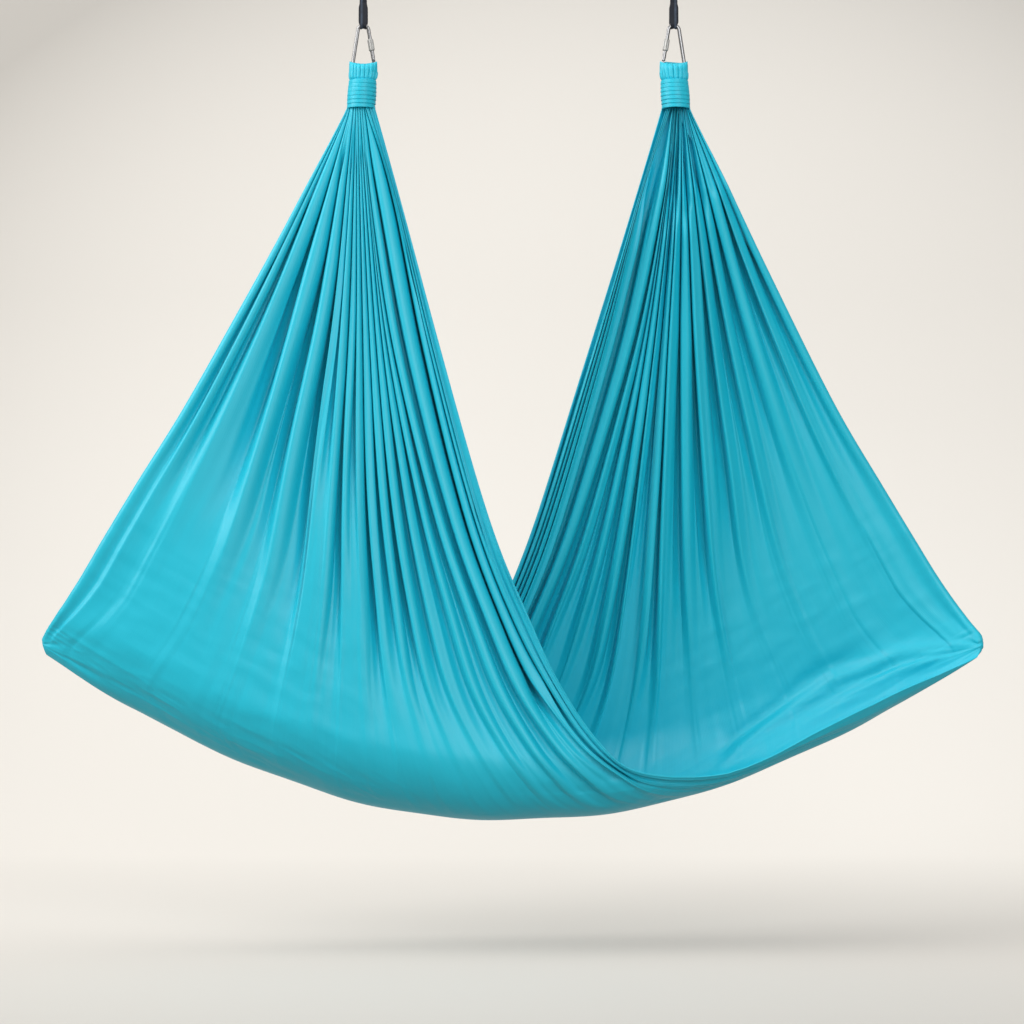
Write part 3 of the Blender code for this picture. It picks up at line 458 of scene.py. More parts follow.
def across_the_guides(shares, lines, at):
    """Smooth interpolation between unevenly spaced guides."""
    gaps = np.diff(shares)
    steps = np.diff(lines, axis=0) / gaps[:, None, None]
    slopes = np.empty_like(lines)
    before, after = gaps[:-1, None, None], gaps[1:, None, None]
    slopes[1:-1] = (after * steps[:-1] + before * steps[1:]) / (after + before)
    slopes[0], slopes[-1] = steps[0], steps[-1]
    guide = np.clip(np.searchsorted(shares, at, side="right") - 1, 0, len(gaps) - 1)
    t = ((at - shares[guide]) / gaps[guide])[:, None, None]
    step = gaps[guide][:, None, None]
    first = (1 + 2 * t) * (1 - t) ** 2 * lines[guide] + t * (1 - t) ** 2 * step * slopes[guide]
    return first + t * t * (3 - 2 * t) * lines[guide + 1] + t * t * (t - 1) * step * slopes[guide + 1]


def fold_tables():
    """Half a fold of slack cloth, from valley to crest: an elastic curve for each steepness."""
    part = np.linspace(0, 0.5, 401)
    steeps = np.linspace(0.02, 2.03, 90)
    depths, across, up = [], [], []
    for steep in steeps:
        turn = steep * np.sin(2 * np.pi * part)
        x = np.concatenate([[0], np.cumsum((np.cos(turn[1:]) + np.cos(turn[:-1])) / 2)]) * part[1]
        z = np.concatenate([[0], np.cumsum((np.sin(turn[1:]) + np.sin(turn[:-1])) / 2)]) * part[1]
        depths.append(z[-1] / (2 * x[-1]))
        across.append(x / (2 * x[-1]))
        up.append(z / z[-1])
    return part, np.array(depths), np.array(across), np.array(up)


FOLD_PART, FOLD_DEPTHS, FOLD_ACROSS, FOLD_UP = fold_tables()


def fold_curve(aspect, part):
    """Place across and height, 0 to 1, on a fold whose depth is aspect times its full width."""
    i = np.interp(aspect, FOLD_DEPTHS, np.arange(len(FOLD_DEPTHS)))
    low = np.minimum(i.astype(int), len(FOLD_DEPTHS) - 2)
    mix = i - low
    j = np.clip(part / FOLD_PART[1], 0, len(FOLD_PART) - 1.001)
    left = j.astype(int)
    inner = j - left
    out = []
    for table in (FOLD_ACROSS, FOLD_UP):
        first = table[low, left] * (1 - inner) + table[low, left + 1] * inner
        second = table[low + 1, left] * (1 - inner) + table[low + 1, left + 1] * inner
        out.append(first * (1 - mix) + second * mix)
    return out


def front_table(places):
    """Smooth front sheet as a fine table of points and outward directions, at places down the guides."""
    fine = np.linspace(0, 1, TABLE_COLUMNS)
    shares, lines = guide_stations()
    flat = across_the_guides(shares, down_the_guides(lines, places), fine)
    x, depth = flat[..., 0], flat[..., 1]
    points = np.stack([x, -pocket_depth(x, depth), -depth], -1)
    normal = np.cross(np.gradient(points, axis=1), np.gradient(points, axis=0))
    normal /= np.maximum(np.linalg.norm(normal, axis=-1, keepdims=True), 1e-12)
    down = np.interp(places, np.arange(len(STATION_SHARES)), STATION_SHARES)
    step = 0.002
    slope_x = (pocket_depth(x + step, depth) - pocket_depth(x - step, depth)) / (2 * step)
    slope_z = (pocket_depth(x, depth + step) - pocket_depth(x, depth - step)) / (2 * step)

    # Directions are level at the neck, follow the pocket's form in the upper half and the sheet itself below
    upper = np.stack([-slope_x, -np.ones_like(x), slope_z], -1)
    upper /= np.linalg.norm(upper, axis=-1, keepdims=True)
    mix = ease((down - 0.55) / 0.12)[None, :, None]
    normal = upper * (1 - mix) + normal * mix
    level = np.array([0.0, -1.0, 0.0])
    mix = ease(down / 0.24)[None, :, None]
    normal = level * (1 - mix) + normal * mix
    normal /= np.linalg.norm(normal, axis=-1, keepdims=True)
    return fine, points, normal, down


def drift(x, y, seed):
    """Smooth seeded wandering between -1 and 1 over a plane."""
    table = np.random.default_rng(seed).uniform(-1, 1, (64, 64))
    i, j = np.floor(x).astype(int), np.floor(y).astype(int)
    u, v = ease(x - i), ease(y - j)
    near = table[i % 64, j % 64] * (1 - u) + table[(i + 1) % 64, j % 64] * u
    far = table[i % 64, (j + 1) % 64] * (1 - u) + table[(i + 1) % 64, (j + 1) % 64] * u
    return near * (1 - v) + far * v


def swept(x, depth):
    """Height of the long soft folds at places of the sheet behind the pocket."""
    total = np.zeros_like(x)
    spot = np.stack([x, depth], -1)
    for height, half_width, *line in SWEEPS:
        line = np.array(line)
        nearest = np.full(len(x), 1e9)
        run = np.zeros(len(x))
        for k, (a, b) in enumerate(zip(line, line[1:])):
            part = np.clip((spot - a) @ (b - a) / (b - a).dot(b - a), 0, 1)
            away = np.linalg.norm(spot - a - part[:, None] * (b - a), axis=1)
            run = np.where(away < nearest, (k + part) / (len(line) - 1), run)
            nearest = np.minimum(away, nearest)
        total += height * np.exp(-(nearest / half_width) ** 2) * ease(run / 0.25) * ease((1 - run) / 0.15)
    return total


def unevenness(across, down, base, pulled, seed):
    """Small folds and wrinkles of a worn cloth, in metres off the sheet."""
    held = ease(down / 0.08)
    long_folds = LONG_FOLD * drift(across * 85, down * 3.1 + 7, seed)
    long_folds = long_folds + NARROW_FOLD * drift(across * 190, down * 6.3, seed + 1)
    billow = BILLOW * drift(across * 17, down * 4.0 + 3, seed + 2) * ease(down / 0.4)

    # Slack creases low down, which slant down towards the middle
    x, depth = base[:, 0], -base[:, 2]
    lean = np.where(x < 0, 1.0, -1.0)
    along, over = 0.87 * x + 0.5 * lean * depth, 0.87 * depth - 0.5 * lean * x
    low = ease((down - 0.66) / 0.12) * ease((np.abs(x) - 0.10) / 0.35)
    creases = -WIDE_CREASE * np.abs(drift(over * 48, along * 9, seed + 3))
    creases -= NARROW_CREASE * np.abs(drift(over * 95, along * 17, seed + 4))

    # Tension folds that fan out from the tips, and puckers close to them
    reach = TIP_HALF_SPAN - np.abs(x)
    drop = depth - (CLOTH_DROP - TIP_RISE)
    away = np.hypot(reach, drop)
    angle = np.degrees(np.arctan2(drop, reach))
    strength = ease((angle - 1) / 24) * ease(away / 0.10) * (1 - ease((away - 0.75) / 0.45))
    wrinkles = TENSION_WRINKLE * drift(angle / 2.1, away * 4, seed + 6) * ease((away - 0.10) / 0.20)
    tension = TENSION_FOLD * drift(angle / 5.2 + 20, away * 1.6, seed + 5) + wrinkles
    pucker = PUCKER * drift(angle / 17 + 20, away * 14, seed + 7)
    pucker = pucker * (1 - ease((away - 0.03) / 0.10)) * ease(away / 0.015)

    low_part = low * creases + strength * tension * pulled + pucker
    loose = 1 - 0.9 * ease((across - 0.78) / 0.06) * (1 - ease((down - 0.40) / 0.25))
    return held * loose * (long_folds * (1 - 0.5 * ease((down - 0.6) / 0.3)) + billow) + low_part


def rolled_past(start, outward, behind, radius, length):
    """Points of an edge that rolls over behind the sheet, at lengths past the start of the roll."""
    turn = np.minimum(length / radius, 3.05)[:, None]
    straight = (length / radius)[:, None] - turn
    onward = np.cos(turn) * outward + np.sin(turn) * behind
    return start + radius * (np.sin(turn) * outward + (1 - np.cos(turn)) * behind + straight * onward)


def bundle(across, down):
    """How far the round bundle at the neck stands out: 1 in its middle, and all over further down."""
    return np.sqrt(np.maximum(1 - (2 * across - 1) ** 2 * (1 - ease(2 * down)) * 0.85, 0))


def roll_edges(laid, way, row, across, radius, facing, fade):
    """Rolls the outer edge and the hem's edge of one row of the sheet over behind it."""
    in_roll = across < EDGE_ROLL_SHARE
    first = np.argmax(~in_roll)
    outward = row[0] - row[EDGE_STEP]
    outward /= np.linalg.norm(outward)
    length = (EDGE_ROLL_SHARE - across[in_roll]) * CLOTH_WIDTH
    rolled = rolled_past(laid[first], outward, -facing * way[first], radius, length)
    laid[in_roll] = laid[in_roll] * (1 - fade) + rolled * fade
    from_hem = (1 - across) * CLOTH_WIDTH
    in_hem_roll = from_hem < HEM_ROLL_LENGTH
    last = np.argmax(in_hem_roll) - 1
    outward = laid[last] - laid[last - 4]
    outward -= outward.dot(way[last]) * way[last]
    outward /= np.linalg.norm(outward)
    length = HEM_ROLL_LENGTH - from_hem[in_hem_roll]
    rolled = rolled_past(laid[last], outward, -facing * way[last], HEM_ROLL_RADIUS, length)
    laid[in_hem_roll] = laid[in_hem_roll] * (1 - fade) + rolled * fade


def fold_halves(across, bounds):
    """Which fold each column lies in, on which side of its crest, and how far up from valley to crest."""
    inner = np.maximum(across - EDGE_ROLL_SHARE, 0) / (1 - EDGE_ROLL_SHARE)
    last = len(bounds) - 2
    fold = np.clip(np.searchsorted(bounds, inner, side="right") - 1, 0, last)
    inside = (inner - bounds[fold]) / (bounds[fold + 1] - bounds[fold])
    left_half = (inside < 0.5) & (fold > 0) | (fold == last)
    part = np.where(left_half, inside, 1 - inside)
    outermost = (fold == 0) | (fold == last)
    return fold, inside, left_half, np.where(outermost, part / 2, part), outermost


def second_creases(fold, inside, outermost, folds, facing, seed):
    """A softer crease beside each crest, each fold with its own place and depth."""
    rng = np.random.default_rng(seed + 9)
    places = rng.uniform(0.52, 0.74, folds)[fold]
    depths = rng.uniform(0.10, 0.42, folds)[fold]
    creases = depths * np.exp(-((inside - (places if facing > 0 else 1 - places)) / 0.085) ** 2)
    return np.where(outermost, 0, creases)


def valley_depths(valleys, places, down, spare):
    """Depth of each valley at a share of the way down, from the cloth its folds have to spare there."""
    full = np.array([v[1] * (1 - ease((down - v[2]) / (v[3] - v[2]))) for v in valleys])

    # Every second valley in the middle starts below the neck, and the ones at the hem start later still
    full[3:-4:2] *= ease((down - 0.05) / 0.15)
    late = np.where(places > HEM_STRIP_FROM, ease((down - 0.25) / 0.50), 1.0)
    late = np.where(places == HEM_FOLD, ease((down - 0.15) / 0.30), late)
    cap = (NECK_VALLEY_CAP + (VALLEY_CAP - NECK_VALLEY_CAP) * ease(down / 0.20)) * bundle(places, down)

    # The slack part is flatter towards the bottom
    shallow = (1 - 0.80 * ease((down - 0.72) / 0.14)) * (1 - 0.85 * ease((down - 0.92) / 0.03))
    cap = np.where(places > SLACK_FROM, cap * shallow, cap)
    least = np.array([v[4] * (1 - ease((down - v[3] + 0.06) / 0.06)) for v in valleys]) * ease(down / 0.2)
    return late * np.minimum(np.maximum(0.5 * full * spare, least), cap)


def at_shares(places, fine, row):
    """Points or directions of a fine row at other shares across."""
    return np.stack([np.interp(places, fine, row[:, k]) for k in range(3)], -1)


def fold_sheet(across, table, valleys, facing, seed):
    """Gathers a smooth sheet into folds, its columns at shares of the cloth's width across.

    facing is 1 where the camera sees the sheet's outer side, or -1.
    """
    fine, points, normal, downs = table
    places = np.array([v[0] for v in valleys])
    bounds = np.concatenate([[0], places, [1]])
    fold, inside, left_half, part, outermost = fold_halves(across, bounds)
    second = second_creases(fold, inside, outermost, len(bounds), facing, seed)
    valley = np.where(left_half, fold - 1, fold)
    sign = np.where(left_half, 1.0, -1.0)
    leaning = np.where(outermost, 1.0, 1 - facing * sign * FOLD_LEAN)
    pulled = 1.0 if facing < 0 else 0.45
    hem_ply = HEM_PLY * ease((HEM_WIDTH - (1 - across) * CLOTH_WIDTH) / 0.0020)

    # The outermost folds are half folds, so they count double
    halves = np.ones(len(bounds) - 1)
    halves[[0, -1]] = 2
    width_s = (np.diff(bounds) * halves)[fold]
    cloth = np.diff(bounds) * CLOTH_WIDTH * halves
    cloth_at = (cloth[1:] + cloth[:-1]) / 2

    out = np.empty((len(across), points.shape[1], 3))
    for j, down in enumerate(downs):
        row = points[:, j]
        radius = EDGE_ROLL_RADIUS * (0.25 + 0.75 * ease(down / 0.4))
        speed = np.linalg.norm(row[EDGE_STEP] - row[0]) / fine[EDGE_STEP]
        fade = 1 - ease((down - MEETING_FROM) / (1 - MEETING_FROM))
        start = min(radius / speed, 0.03) * fade

        # How deep the valleys are in this row
        at = at_shares(start + (1 - start) * bounds, fine, row)
        widths = np.linalg.norm(np.diff(at, axis=0), axis=1) * halves
        width_at = (widths[1:] + widths[:-1]) / 2
        depth = valley_depths(valleys, places, down, np.maximum(cloth_at - width_at, 0))
        here = depth[valley]

        # Where each column lies across the smooth sheet
        fold_across, fold_up = fold_curve(here / np.maximum(widths[fold], 1e-6), part)
        sharp = ease((here - 0.003) / 0.025) * (1 - ease((down - 0.75) / 0.15))
        fold_across = 0.5 * (2 * fold_across) ** (1 + (VALLEY_PINCH - 1) * sharp)
        lies_at = np.clip(places[valley] + sign * width_s * fold_across * leaning, 0, 1)
        wander = drift(lies_at * 11, np.full_like(lies_at, down * 4), seed + 8)
        wander = wander * ease(down / 0.3) * (1 - ease((down - 0.8) / 0.2))
        lies_at = lies_at + 0.005 * wander * ease(10 * lies_at * (1 - lies_at))
        lies_at = lies_at * (1 - 0.85 * ease((down - 0.84) / 0.14) * np.exp(-lies_at / 0.05))
        lies_at = start + (1 - start) * lies_at
        inwards = ease((0.5 - np.abs(across - 0.5) - 0.04) / 0.12)
        lies_at = lies_at + (across - lies_at) * ease((down - 0.955) / 0.045) * inwards
        base = at_shares(lies_at, fine, row)
        way = at_shares(lies_at, fine, normal[:, j])

        # How far each column stands off it
        off = GATHER_HEIGHT * bundle(across, down) * (1 - down) ** 1.3
        off = off - here * ((1 - fold_up) if facing > 0 else fold_up)
        off -= facing * second * np.minimum(here, 0.9 * widths[fold]) * ease(down / 0.2)
        off = off + fade * (facing * hem_ply + unevenness(across, down, base, pulled, seed))
        if facing < 0:
            off = off - fade * swept(-base[:, 0], -base[:, 2])
        laid = base + off[:, None] * way
        if fade > 0:
            roll_edges(laid, way, row, across, radius, facing, fade)
        out[:, j] = laid
    return out


def cloth_rows():
    """Evenly spaced rows down the sheet, as places among the guides' stations."""
    rows = [0.0]
    for station, length in enumerate(STATION_LENGTHS):
        steps = max(int(round(length / ROW_SPACING)), 4)
        rows += [station + (k + 1) / steps for k in range(steps)]
    return np.array(rows)


def make_cloth():
    """One open sheet: down in front from the left neck, and up at the back to the right one."""
    rows = cloth_rows()
    table = front_table(rows)
    edge = np.linspace(0, FINE_EDGE, EDGE_COLUMNS + 1)[:-1]
    across = np.concatenate([edge, np.linspace(FINE_EDGE, 1 - FINE_EDGE, COLUMNS), 1 - edge[::-1]])
    front = fold_sheet(across, table, FRONT_VALLEYS, 1, 40)
    back = fold_sheet(across, table, BACK_VALLEYS, -1, 60)
    back = back[::-1] * np.array([-1.0, -1.0, 1.0])
    grid = np.concatenate([front, back[:, -2::-1]], 1)
    x, z = grid[..., 0].copy(), grid[..., 2].copy()
    grid[..., 2] += LOW_RIPPLE * np.sin(17 * x + 0.6) * np.sin(6 * x + 1) * ease((-z - 0.95) / 0.25)
    grid[..., 0] += SWAY * ease(-z)

    # Both ends run on into the necks
    for end in (0, -1):
        middle = grid[:, end].mean(0)
        tucked = middle + (grid[:, end] - middle) * np.array(TUCKED_SCALE) + np.array([0, 0, TUCKED_RISE])
        grid = np.concatenate([tucked[:, None], grid] if end == 0 else [grid, tucked[:, None]], 1)
    along = np.concatenate([[0], np.cumsum(np.linalg.norm(np.diff(grid.mean(0), axis=0), axis=1))])
    grid += np.array([MIDLINE, 0, NECK_BOTTOM])
    uv = np.stack(np.broadcast_arrays(across[:, None] * CLOTH_WIDTH, along[None, :]), -1)
    faces = grid_faces(grid.shape[0], grid.shape[1])
    mesh = make_mesh("draped_cloth", grid.reshape(-1, 3), faces, teal, uv.reshape(-1, 2))
    return add_piece("draped_cloth", mesh, "hammock", ("hammock_cloth",))


cloth = make_cloth()


# Gathered end loops and wound necks

def neck_shift(height, side):
    """The bound neck leans outwards below the carabiner's bottom bar."""
    return -side * NECK_LEAN * np.clip(-height / (LOOP_SHOULDER + NECK_HEIGHT), 0, 1)


def make_end_loop(name, side, hang, seed):
    """Gathered cloth over the bar: uneven soft rods that run up, over the top and down."""
    rng = np.random.default_rng(seed)
    gathers, per_gather = 19, 16
    edges = np.cumsum(rng.uniform(0.7, 1.3, gathers))
    edges = np.concatenate([[0], edges / edges[-1]])
    count = per_gather * gathers
    turn = np.arange(count) / count
    inside = np.interp(turn, edges, np.arange(gathers + 1)) % 1
    which = np.minimum(np.searchsorted(edges, turn, side="right") - 1, gathers - 1)
    strength = rng.uniform(0.75, 1.25, gathers)[which]
    rod = np.sqrt(np.maximum(1 - (2 * inside - 1) ** 2, 0)) * strength
    angle = 2 * np.pi * turn
    rings = []
    top_share = [0.0, 0.1, 0.2, 0.3, 0.4, 0.5, 0.6, 0.68, 0.76, 0.82, 0.88, 0.92, 0.95, 0.975, 0.99, 0.998]
    lower = [(-LOOP_SHOULDER - 0.004, CORE_RADIUS, CORE_RADIUS, 0.4),
             (-LOOP_SHOULDER + 0.0003, 0.90 * LOOP_HALF_WIDTH, CORE_RADIUS, 0.6),
             (-0.85 * LOOP_SHOULDER, 0.95 * LOOP_HALF_WIDTH, 1.03 * CORE_RADIUS, 0.9),
             (-0.7 * LOOP_SHOULDER, 0.98 * LOOP_HALF_WIDTH, 1.05 * CORE_RADIUS, 1.0),
             (-0.5 * LOOP_SHOULDER, 0.995 * LOOP_HALF_WIDTH, 1.05 * LOOP_HALF_DEPTH, 1.0),
             (-0.3 * LOOP_SHOULDER, LOOP_HALF_WIDTH, 1.04 * LOOP_HALF_DEPTH, 1.0),
             (-0.15 * LOOP_SHOULDER, LOOP_HALF_WIDTH, 1.02 * LOOP_HALF_DEPTH, 1.0)]
    for height, half_width, half_depth, gather in lower:
        crest = 1 + gather * GATHER_DEPTH / half_depth * (rod - 0.8)
        x = half_width * crest * np.cos(angle) + neck_shift(height, side)
        rings.append(np.stack([x, half_depth * crest * np.sin(angle), np.full(count, height)], -1))
    for share in top_share:
        crest = 1 + GATHER_DEPTH / LOOP_HALF_DEPTH * (rod - 0.8)
        x = LOOP_HALF_WIDTH * (1 - 0.03 * share**3) * np.cos(angle)
        top = LOOP_TOP_AT_MIDDLE + (LOOP_TOP_AT_SIDES - LOOP_TOP_AT_MIDDLE) * (x / LOOP_HALF_WIDTH) ** 2
        y = LOOP_HALF_DEPTH * crest * math.sqrt(1 - share**2) * np.sin(angle)
        rings.append(np.stack([x, y, share * top + 0.0008 * (rod - 0.8) * share], -1))
    rings = np.array(rings)
    rings += np.array([hang, 0, BOTTOM_BAR_HEIGHT])
    faces = closed_faces(len(rings), count)
    uv = np.stack(np.broadcast_arrays(turn[None, :] * 0.5, rings[..., 2]), -1)
    mesh = make_mesh(name, rings.reshape(-1, 3), faces, teal, uv.reshape(-1, 2), 70)
    return add_piece(name, mesh, "hammock", (name.split("_")[0] + "_end_loop",))


def make_wrap(name, side, hang, seed):
    """The cloth's tail wound round the neck in one unbroken band of soft ridged turns."""
    rng = np.random.default_rng(seed)
    per_turn = 120
    tail = WRAP_BAND_HEIGHT / (2 * math.pi * WRAP_RADIUS)
    steps = int((WRAP_LEVELS - 1 + WRAP_STEP[0] - tail) * per_turn)
    top = -LOOP_SHOULDER - WRAP_GAP - WRAP_BAND_HEIGHT / 2
    corner = np.linspace(-1, 1, 15)
    lap = np.where(corner > 0, 1 + 0.16 * ease((corner - 0.7) / 0.3), 1)
    outer = np.stack([0.97 - 0.26 * (1 - corner) / 2 - 0.10 * np.abs(corner) ** 7, -corner * lap], -1)
    section = np.concatenate([outer, [(-1, -1), (-1, 1)]])
    level = np.arange(steps + 1)
    turns = level / per_turn
    angle = math.pi / 2 + side * 2 * math.pi * turns
    stepped = ease((turns % 1 - WRAP_STEP[0]) / (WRAP_STEP[1] - WRAP_STEP[0]))
    z = top - (np.floor(turns) + stepped) * WRAP_PITCH
    waves = sum(rng.uniform(0.3, 1) * np.sin(k * angle + rng.uniform(0, 6)) for k in (3, 5, 8, 13))
    points = np.empty((len(level), len(section), 3))
    crown = WRAP_CROWN * np.sin(math.pi * np.clip((top - z) / (WRAP_LEVELS * WRAP_PITCH), 0, 1))
    for k, (outward, upward) in enumerate(section):
        outside = k < len(outer)
        crease = 0.05 * np.cos(3 * math.pi * upward + 0.7 * waves + 1.3 * turns) + 0.025 * waves
        reach = WRAP_RADIUS + (outward + crease * outside) * WRAP_BAND_THICKNESS / 2 + crown * outside
        height = z + upward * WRAP_BAND_HEIGHT / 2
        points[:, k, 0] = neck_shift(z, side) + reach * np.cos(angle)
        points[:, k, 1] = reach * np.sin(angle)
        points[:, k, 2] = height
    end = WRAP_BAND_HEIGHT
    first = points[0] + np.array([side * end, 0, 0])
    onward = np.array([-side * math.sin(angle[-1]), side * math.cos(angle[-1]), 0]) * end
    points = np.concatenate([first[None], points, (points[-1] + onward)[None]])
    points += np.array([hang, 0, BOTTOM_BAR_HEIGHT])
    rows, count = points.shape[:2]
    faces = closed_faces(rows, count)
    along = np.arange(rows) * 2 * math.pi * WRAP_RADIUS / per_turn
    uv = np.stack(np.broadcast_arrays(np.arange(count)[None, :] * 0.0007, along[:, None]), -1)
    mesh = make_mesh(name, points.reshape(-1, 3), faces, teal, uv.reshape(-1, 2), 60)
    return add_piece(name, mesh, "hammock", (name.split("_")[0] + "_neck_wrap",))


# Straps

def arc(start, end, steps):
    """Directions from one angle to another."""
    turns = np.linspace(start, end, steps + 1)
    return np.stack([np.cos(turns), np.sin(turns)], -1)


def strap_half_width(height):
    """Full width, pinched at the tack and tucked under the carabiner's bar."""
    tack_middle = TOP_BAR_HEIGHT + LOWER_EYE_LENGTH + STRAP_TACK_LENGTH / 2
    away = np.abs(height - tack_middle) - STRAP_TACK_LENGTH / 2
    width = STRAP_TACK_WIDTH + (STRAP_WIDTH - STRAP_TACK_WIDTH) * ease(away / STRAP_TAPER_LENGTH)
    above_tuck = height - (TOP_BAR_HEIGHT - BAR_RADIUS)
    return (STRAP_TUCK_WIDTH + (width - STRAP_TUCK_WIDTH) * ease(above_tuck / STRAP_TAPER_LENGTH)) / 2


def eye_band(end_height, end_radius, fold_height, columns, tucked):
    """Band of webbing round an eye, with round edges: both plies run from the eye's end to the tack."""
    rise = abs(fold_height - end_height)
    end_middle = end_radius + STRAP_THICKNESS / 2
    fold_middle = STRAP_FOLD_RADIUS + STRAP_THICKNESS / 2
    spread = math.asin((end_middle - fold_middle) / rise)
    upward = 1 if fold_height > end_height else -1
    at_end, at_fold = np.array([end_middle, end_height]), np.array([fold_middle, fold_height])
    mixes = [k / PLY_STEPS for k in range(1, PLY_STEPS)]
    route = [(p, *at_end) for p in arc(math.pi - spread, 2 * math.pi + spread, 36)]
    route += [(arc(spread, spread, 1)[0], *(at_end + (at_fold - at_end) * mix)) for mix in mixes]
    route += [(p, *at_fold) for p in arc(spread, math.pi - spread, 12)]
    turned = math.pi - spread
    route += [(arc(turned, turned, 1)[0], *(at_fold + (at_end - at_fold) * mix)) for mix in mixes]
    half = STRAP_THICKNESS / 2
    across = np.linspace(-1, 1, columns + 1)
    rim = np.sqrt(np.maximum(1 - np.clip((np.abs(across) - 0.90) / 0.10, 0, 1) ** 2, 0.06))
    ring_shape = [(c, half * r) for c, r in zip(across, rim)]
    ring_shape += [(c, -half * r) for c, r in list(zip(across, rim))[::-1]]
    rings = []
    for direction, radius, height in route:
        ring = []
        for c, layer in ring_shape:
            y = direction[0] * (radius + layer)
            z = height + upward * direction[1] * (radius + layer)
            x = c * strap_half_width(z)
            if tucked:
                inner_bend = TOP_BEND_RADIUS - BAR_RADIUS - EYE_GAP
                reach = min(abs(x), STRAP_TUCK_WIDTH / 2)
                arch = inner_bend - math.sqrt(inner_bend**2 - reach**2)
                z -= arch * (1 - ease((z - TOP_BAR_HEIGHT) / (4 * BAR_RADIUS)))
            ring.append((float(x), y, float(z)))
        rings.append(ring)
    rings = np.array(rings)
    rows, count = rings.shape[:2]
    faces = grid_faces(rows, count, round_columns=True)
    closing = grid_faces(2, count, round_columns=True)
    closing = np.where(closing >= count, closing - count, closing + (rows - 1) * count)
    middle = rings[:, columns // 2]
    along = np.concatenate([[0], np.cumsum(np.linalg.norm(np.diff(middle, axis=0), axis=1))])
    uv = np.stack(np.broadcast_arrays(rings[..., 0] * 0.8 + 0.01, along[:, None]), -1)
    return rings.reshape(-1, 3), np.concatenate([faces, closing]), uv.reshape(-1, 2)


def joined(parts):
    """Several meshes' points, faces and places in the cloth, as one."""
    points, faces, uvs, first = [], [], [], 0
    for more_points, more_faces, more_uvs in parts:
        points.append(more_points)
        faces += [[int(i) + first for i in face] for face in more_faces]
        uvs.append(more_uvs)
        first += len(more_points)
    return np.concatenate(points), faces, np.concatenate(uvs)


def make_strap(name, hang):
    """Webbing runner: an eye at the top, a sewn tack and an eye round the carabiner's bar."""
    lower_end = TOP_BAR_HEIGHT - BAR_RADIUS - EYE_GAP + LOWER_EYE_RADIUS
    tack_bottom = TOP_BAR_HEIGHT + LOWER_EYE_LENGTH
    tack_top = tack_bottom + STRAP_TACK_LENGTH
    fold_reach = STRAP_FOLD_RADIUS + STRAP_THICKNESS
    lower = eye_band(lower_end, LOWER_EYE_RADIUS, tack_bottom - fold_reach, WEBBING_COLUMNS, True)
    upper = eye_band(-TOP_EYE_RADIUS, TOP_EYE_RADIUS, tack_top + fold_reach, WEBBING_COLUMNS, False)
    rows, around = 40, 48
    heights = np.linspace(tack_bottom - fold_reach / 2, tack_top + fold_reach / 2, rows)
    turn = np.linspace(0, 2 * np.pi, around + 1)[:-1]
    box_x = np.sign(np.cos(turn)) * np.abs(np.cos(turn)) ** 0.25 * STRAP_TACK_WIDTH / 2
    box_y = np.sign(np.sin(turn)) * np.abs(np.sin(turn)) ** 0.5 * STRAP_THICKNESS
    rings = []
    for k, height in enumerate(heights):
        squeeze = 1 - 0.10 * (k % 4 == 0) * (0 < k < rows - 1)
        rings.append(np.stack([box_x, box_y * squeeze, np.full(around, height)], -1))
    rings = np.array(rings)
    faces = closed_faces(rows, around)
    uv = rings[..., [0, 2]].reshape(-1, 2)
    points, faces, uvs = joined([lower, upper, (rings.reshape(-1, 3), faces, uv)])
    mesh = make_mesh(name, points + np.array([hang, 0, 0]), faces, navy, uvs, 50)
    return add_piece(name, mesh, "straps", (name.split("_")[0] + "_strap",))


for hand, side, hang in (("left", 1, 0.0), ("right", -1, HANG_SPACING)):
    make_end_loop(hand + "_gathered_loop", side, hang, 11 + side)
    make_wrap(hand + "_wound_neck", side, hang, 21 + side)
    make_strap(hand + "_webbing_runner", hang)
    for node, material in (("carabiner_frame", steel), ("gate", steel), ("hinge_rivet", steel),
                           ("latch_pin", steel), ("gate_spring", spring_steel), ("spring_plunger", steel),
                           ("lock_sleeve", sleeve_steel)):
        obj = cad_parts[hand + "_" + node]
        for slot in obj.material_slots:
            slot.material = material


# Floor, wall and lights

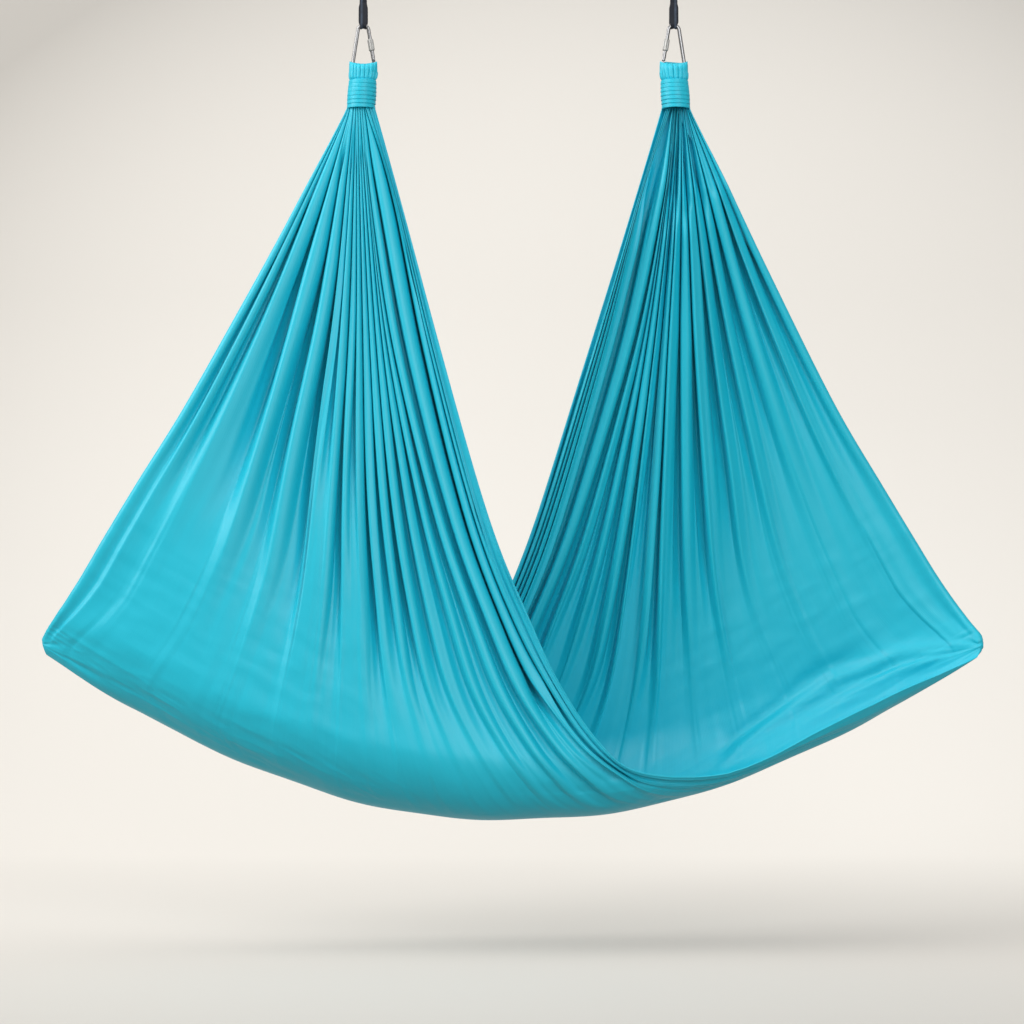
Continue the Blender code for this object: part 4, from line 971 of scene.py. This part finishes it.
def make_stage():
    """Pale floor that curves up into the wall behind. Seen from behind, the wall is clear."""
    front, back, half_width, height = -9.0, 3.2, 12.0, 7.0
    radius, steps = 1.7, 24
    profile = [(front, 0.0), (back - radius, 0.0)]
    for k in range(1, steps + 1):
        turn = math.pi / 2 * k / steps
        profile.append((back - radius + radius * math.sin(turn), radius - radius * math.cos(turn)))
    profile.append((back, height))
    points = [(x, y, FLOOR + z) for y, z in profile for x in (-half_width, half_width)]
    faces = [(2 * i, 2 * i + 1, 2 * i + 3, 2 * i + 2) for i in range(len(profile) - 1)]
    material, shader = new_material("warm_white_studio", (0.80, 0.78, 0.74), 0.9)
    n = Nodes(material)
    seen = n.seen()
    shader.inputs["Emission Color"].default_value = (1.0, 0.965, 0.905, 1)
    place = n.place()

    # Where it is seen it glows, less towards its corners and on the floor in front, and a little more low down
    spot = n.add("ShaderNodeSeparateXYZ", {"Vector": place}).outputs
    aside = n.math("MULTIPLY", n.math("SUBTRACT", spot[0], 0.85), 0.40)
    above = n.math("MAXIMUM", n.math("MULTIPLY", n.math("ADD", spot[2], 1.10), 0.57), 0.0)
    apart = n.math("ADD", n.math("MULTIPLY", aside, aside), n.math("MULTIPLY", above, above))
    glow = n.math("SUBTRACT", 0.37, n.math("MULTIPLY", n.math("MULTIPLY", apart, apart), 0.18))
    low = n.between(spot[2], 0.06, 0.0, FLOOR, FLOOR + 1.3)
    close = n.between(spot[1], -0.43, 0.0, -1.4, 1.6)
    glow = n.math("MAXIMUM", n.math("ADD", glow, n.math("ADD", low, close)), 0.0)
    n.link(n.math("MULTIPLY", seen, glow), "Emission Strength")

    soft = n.noise(place, 0.5, 1.0)
    plain = n.mix(soft, (0.46, 0.44, 0.41), (0.49, 0.47, 0.44))
    n.link(n.mix(seen, (0.34, 0.325, 0.30), plain), "Base Color")
    behind = n.add("ShaderNodeNewGeometry").outputs["Backfacing"]
    clear = n.add("ShaderNodeBsdfTransparent").outputs[0]
    shown = n.add("ShaderNodeMixShader", {0: behind, 1: shader.outputs[0], 2: clear}).outputs[0]
    n.tree.links.new(shown, n.tree.nodes["Material Output"].inputs[0])
    mesh = bpy.data.meshes.new("studio")
    mesh.from_pydata(points, [], faces)
    mesh.materials.append(material)
    mesh.shade_smooth()
    studio = bpy.data.objects.new("studio", mesh)
    bpy.context.collection.objects.link(studio)


def add_light(name, place, aim, size, power, colour):
    """Soft rectangular lamp that faces a point."""
    data = bpy.data.lights.new(name, "AREA")
    data.shape = "RECTANGLE"
    data.size, data.size_y = size
    data.energy = power
    data.color = colour
    lamp = bpy.data.objects.new(name, data)
    lamp.location = place
    lamp.rotation_mode = "QUATERNION"
    lamp.rotation_quaternion = (Vector(aim) - Vector(place)).to_track_quat("-Z", "Y")
    bpy.context.collection.objects.link(lamp)


def light_world():
    """Low plain light from all round, and a pale background where the camera looks."""
    world = bpy.context.scene.world or bpy.data.worlds.new("world")
    bpy.context.scene.world = world
    world.use_nodes = True
    n = Nodes(world)
    sky = n.tree.nodes["Background"]
    sky.inputs["Color"].default_value = (1.0, 0.985, 0.96, 1)
    n.tree.links.new(n.between(n.seen(), 0.28, 0.80), sky.inputs["Strength"])


make_stage()
light_world()
add_light("key", (-4.1, -1.5, 2.2), (0.3, 0, -1.2), (4.3, 4.3), 338, (1.0, 0.985, 0.965))
add_light("fill", (2.2, -5.2, 1.2), (0.5, 0, -1.1), (4.0, 4.0), 228, (0.98, 0.99, 1.0))
add_light("overhead", (0.5, 0.0, 2.9), (0.5, 0, -1.2), (4.0, 3.0), 66, (1.0, 0.99, 0.98))
bpy.context.scene.view_settings.view_transform = "Standard"
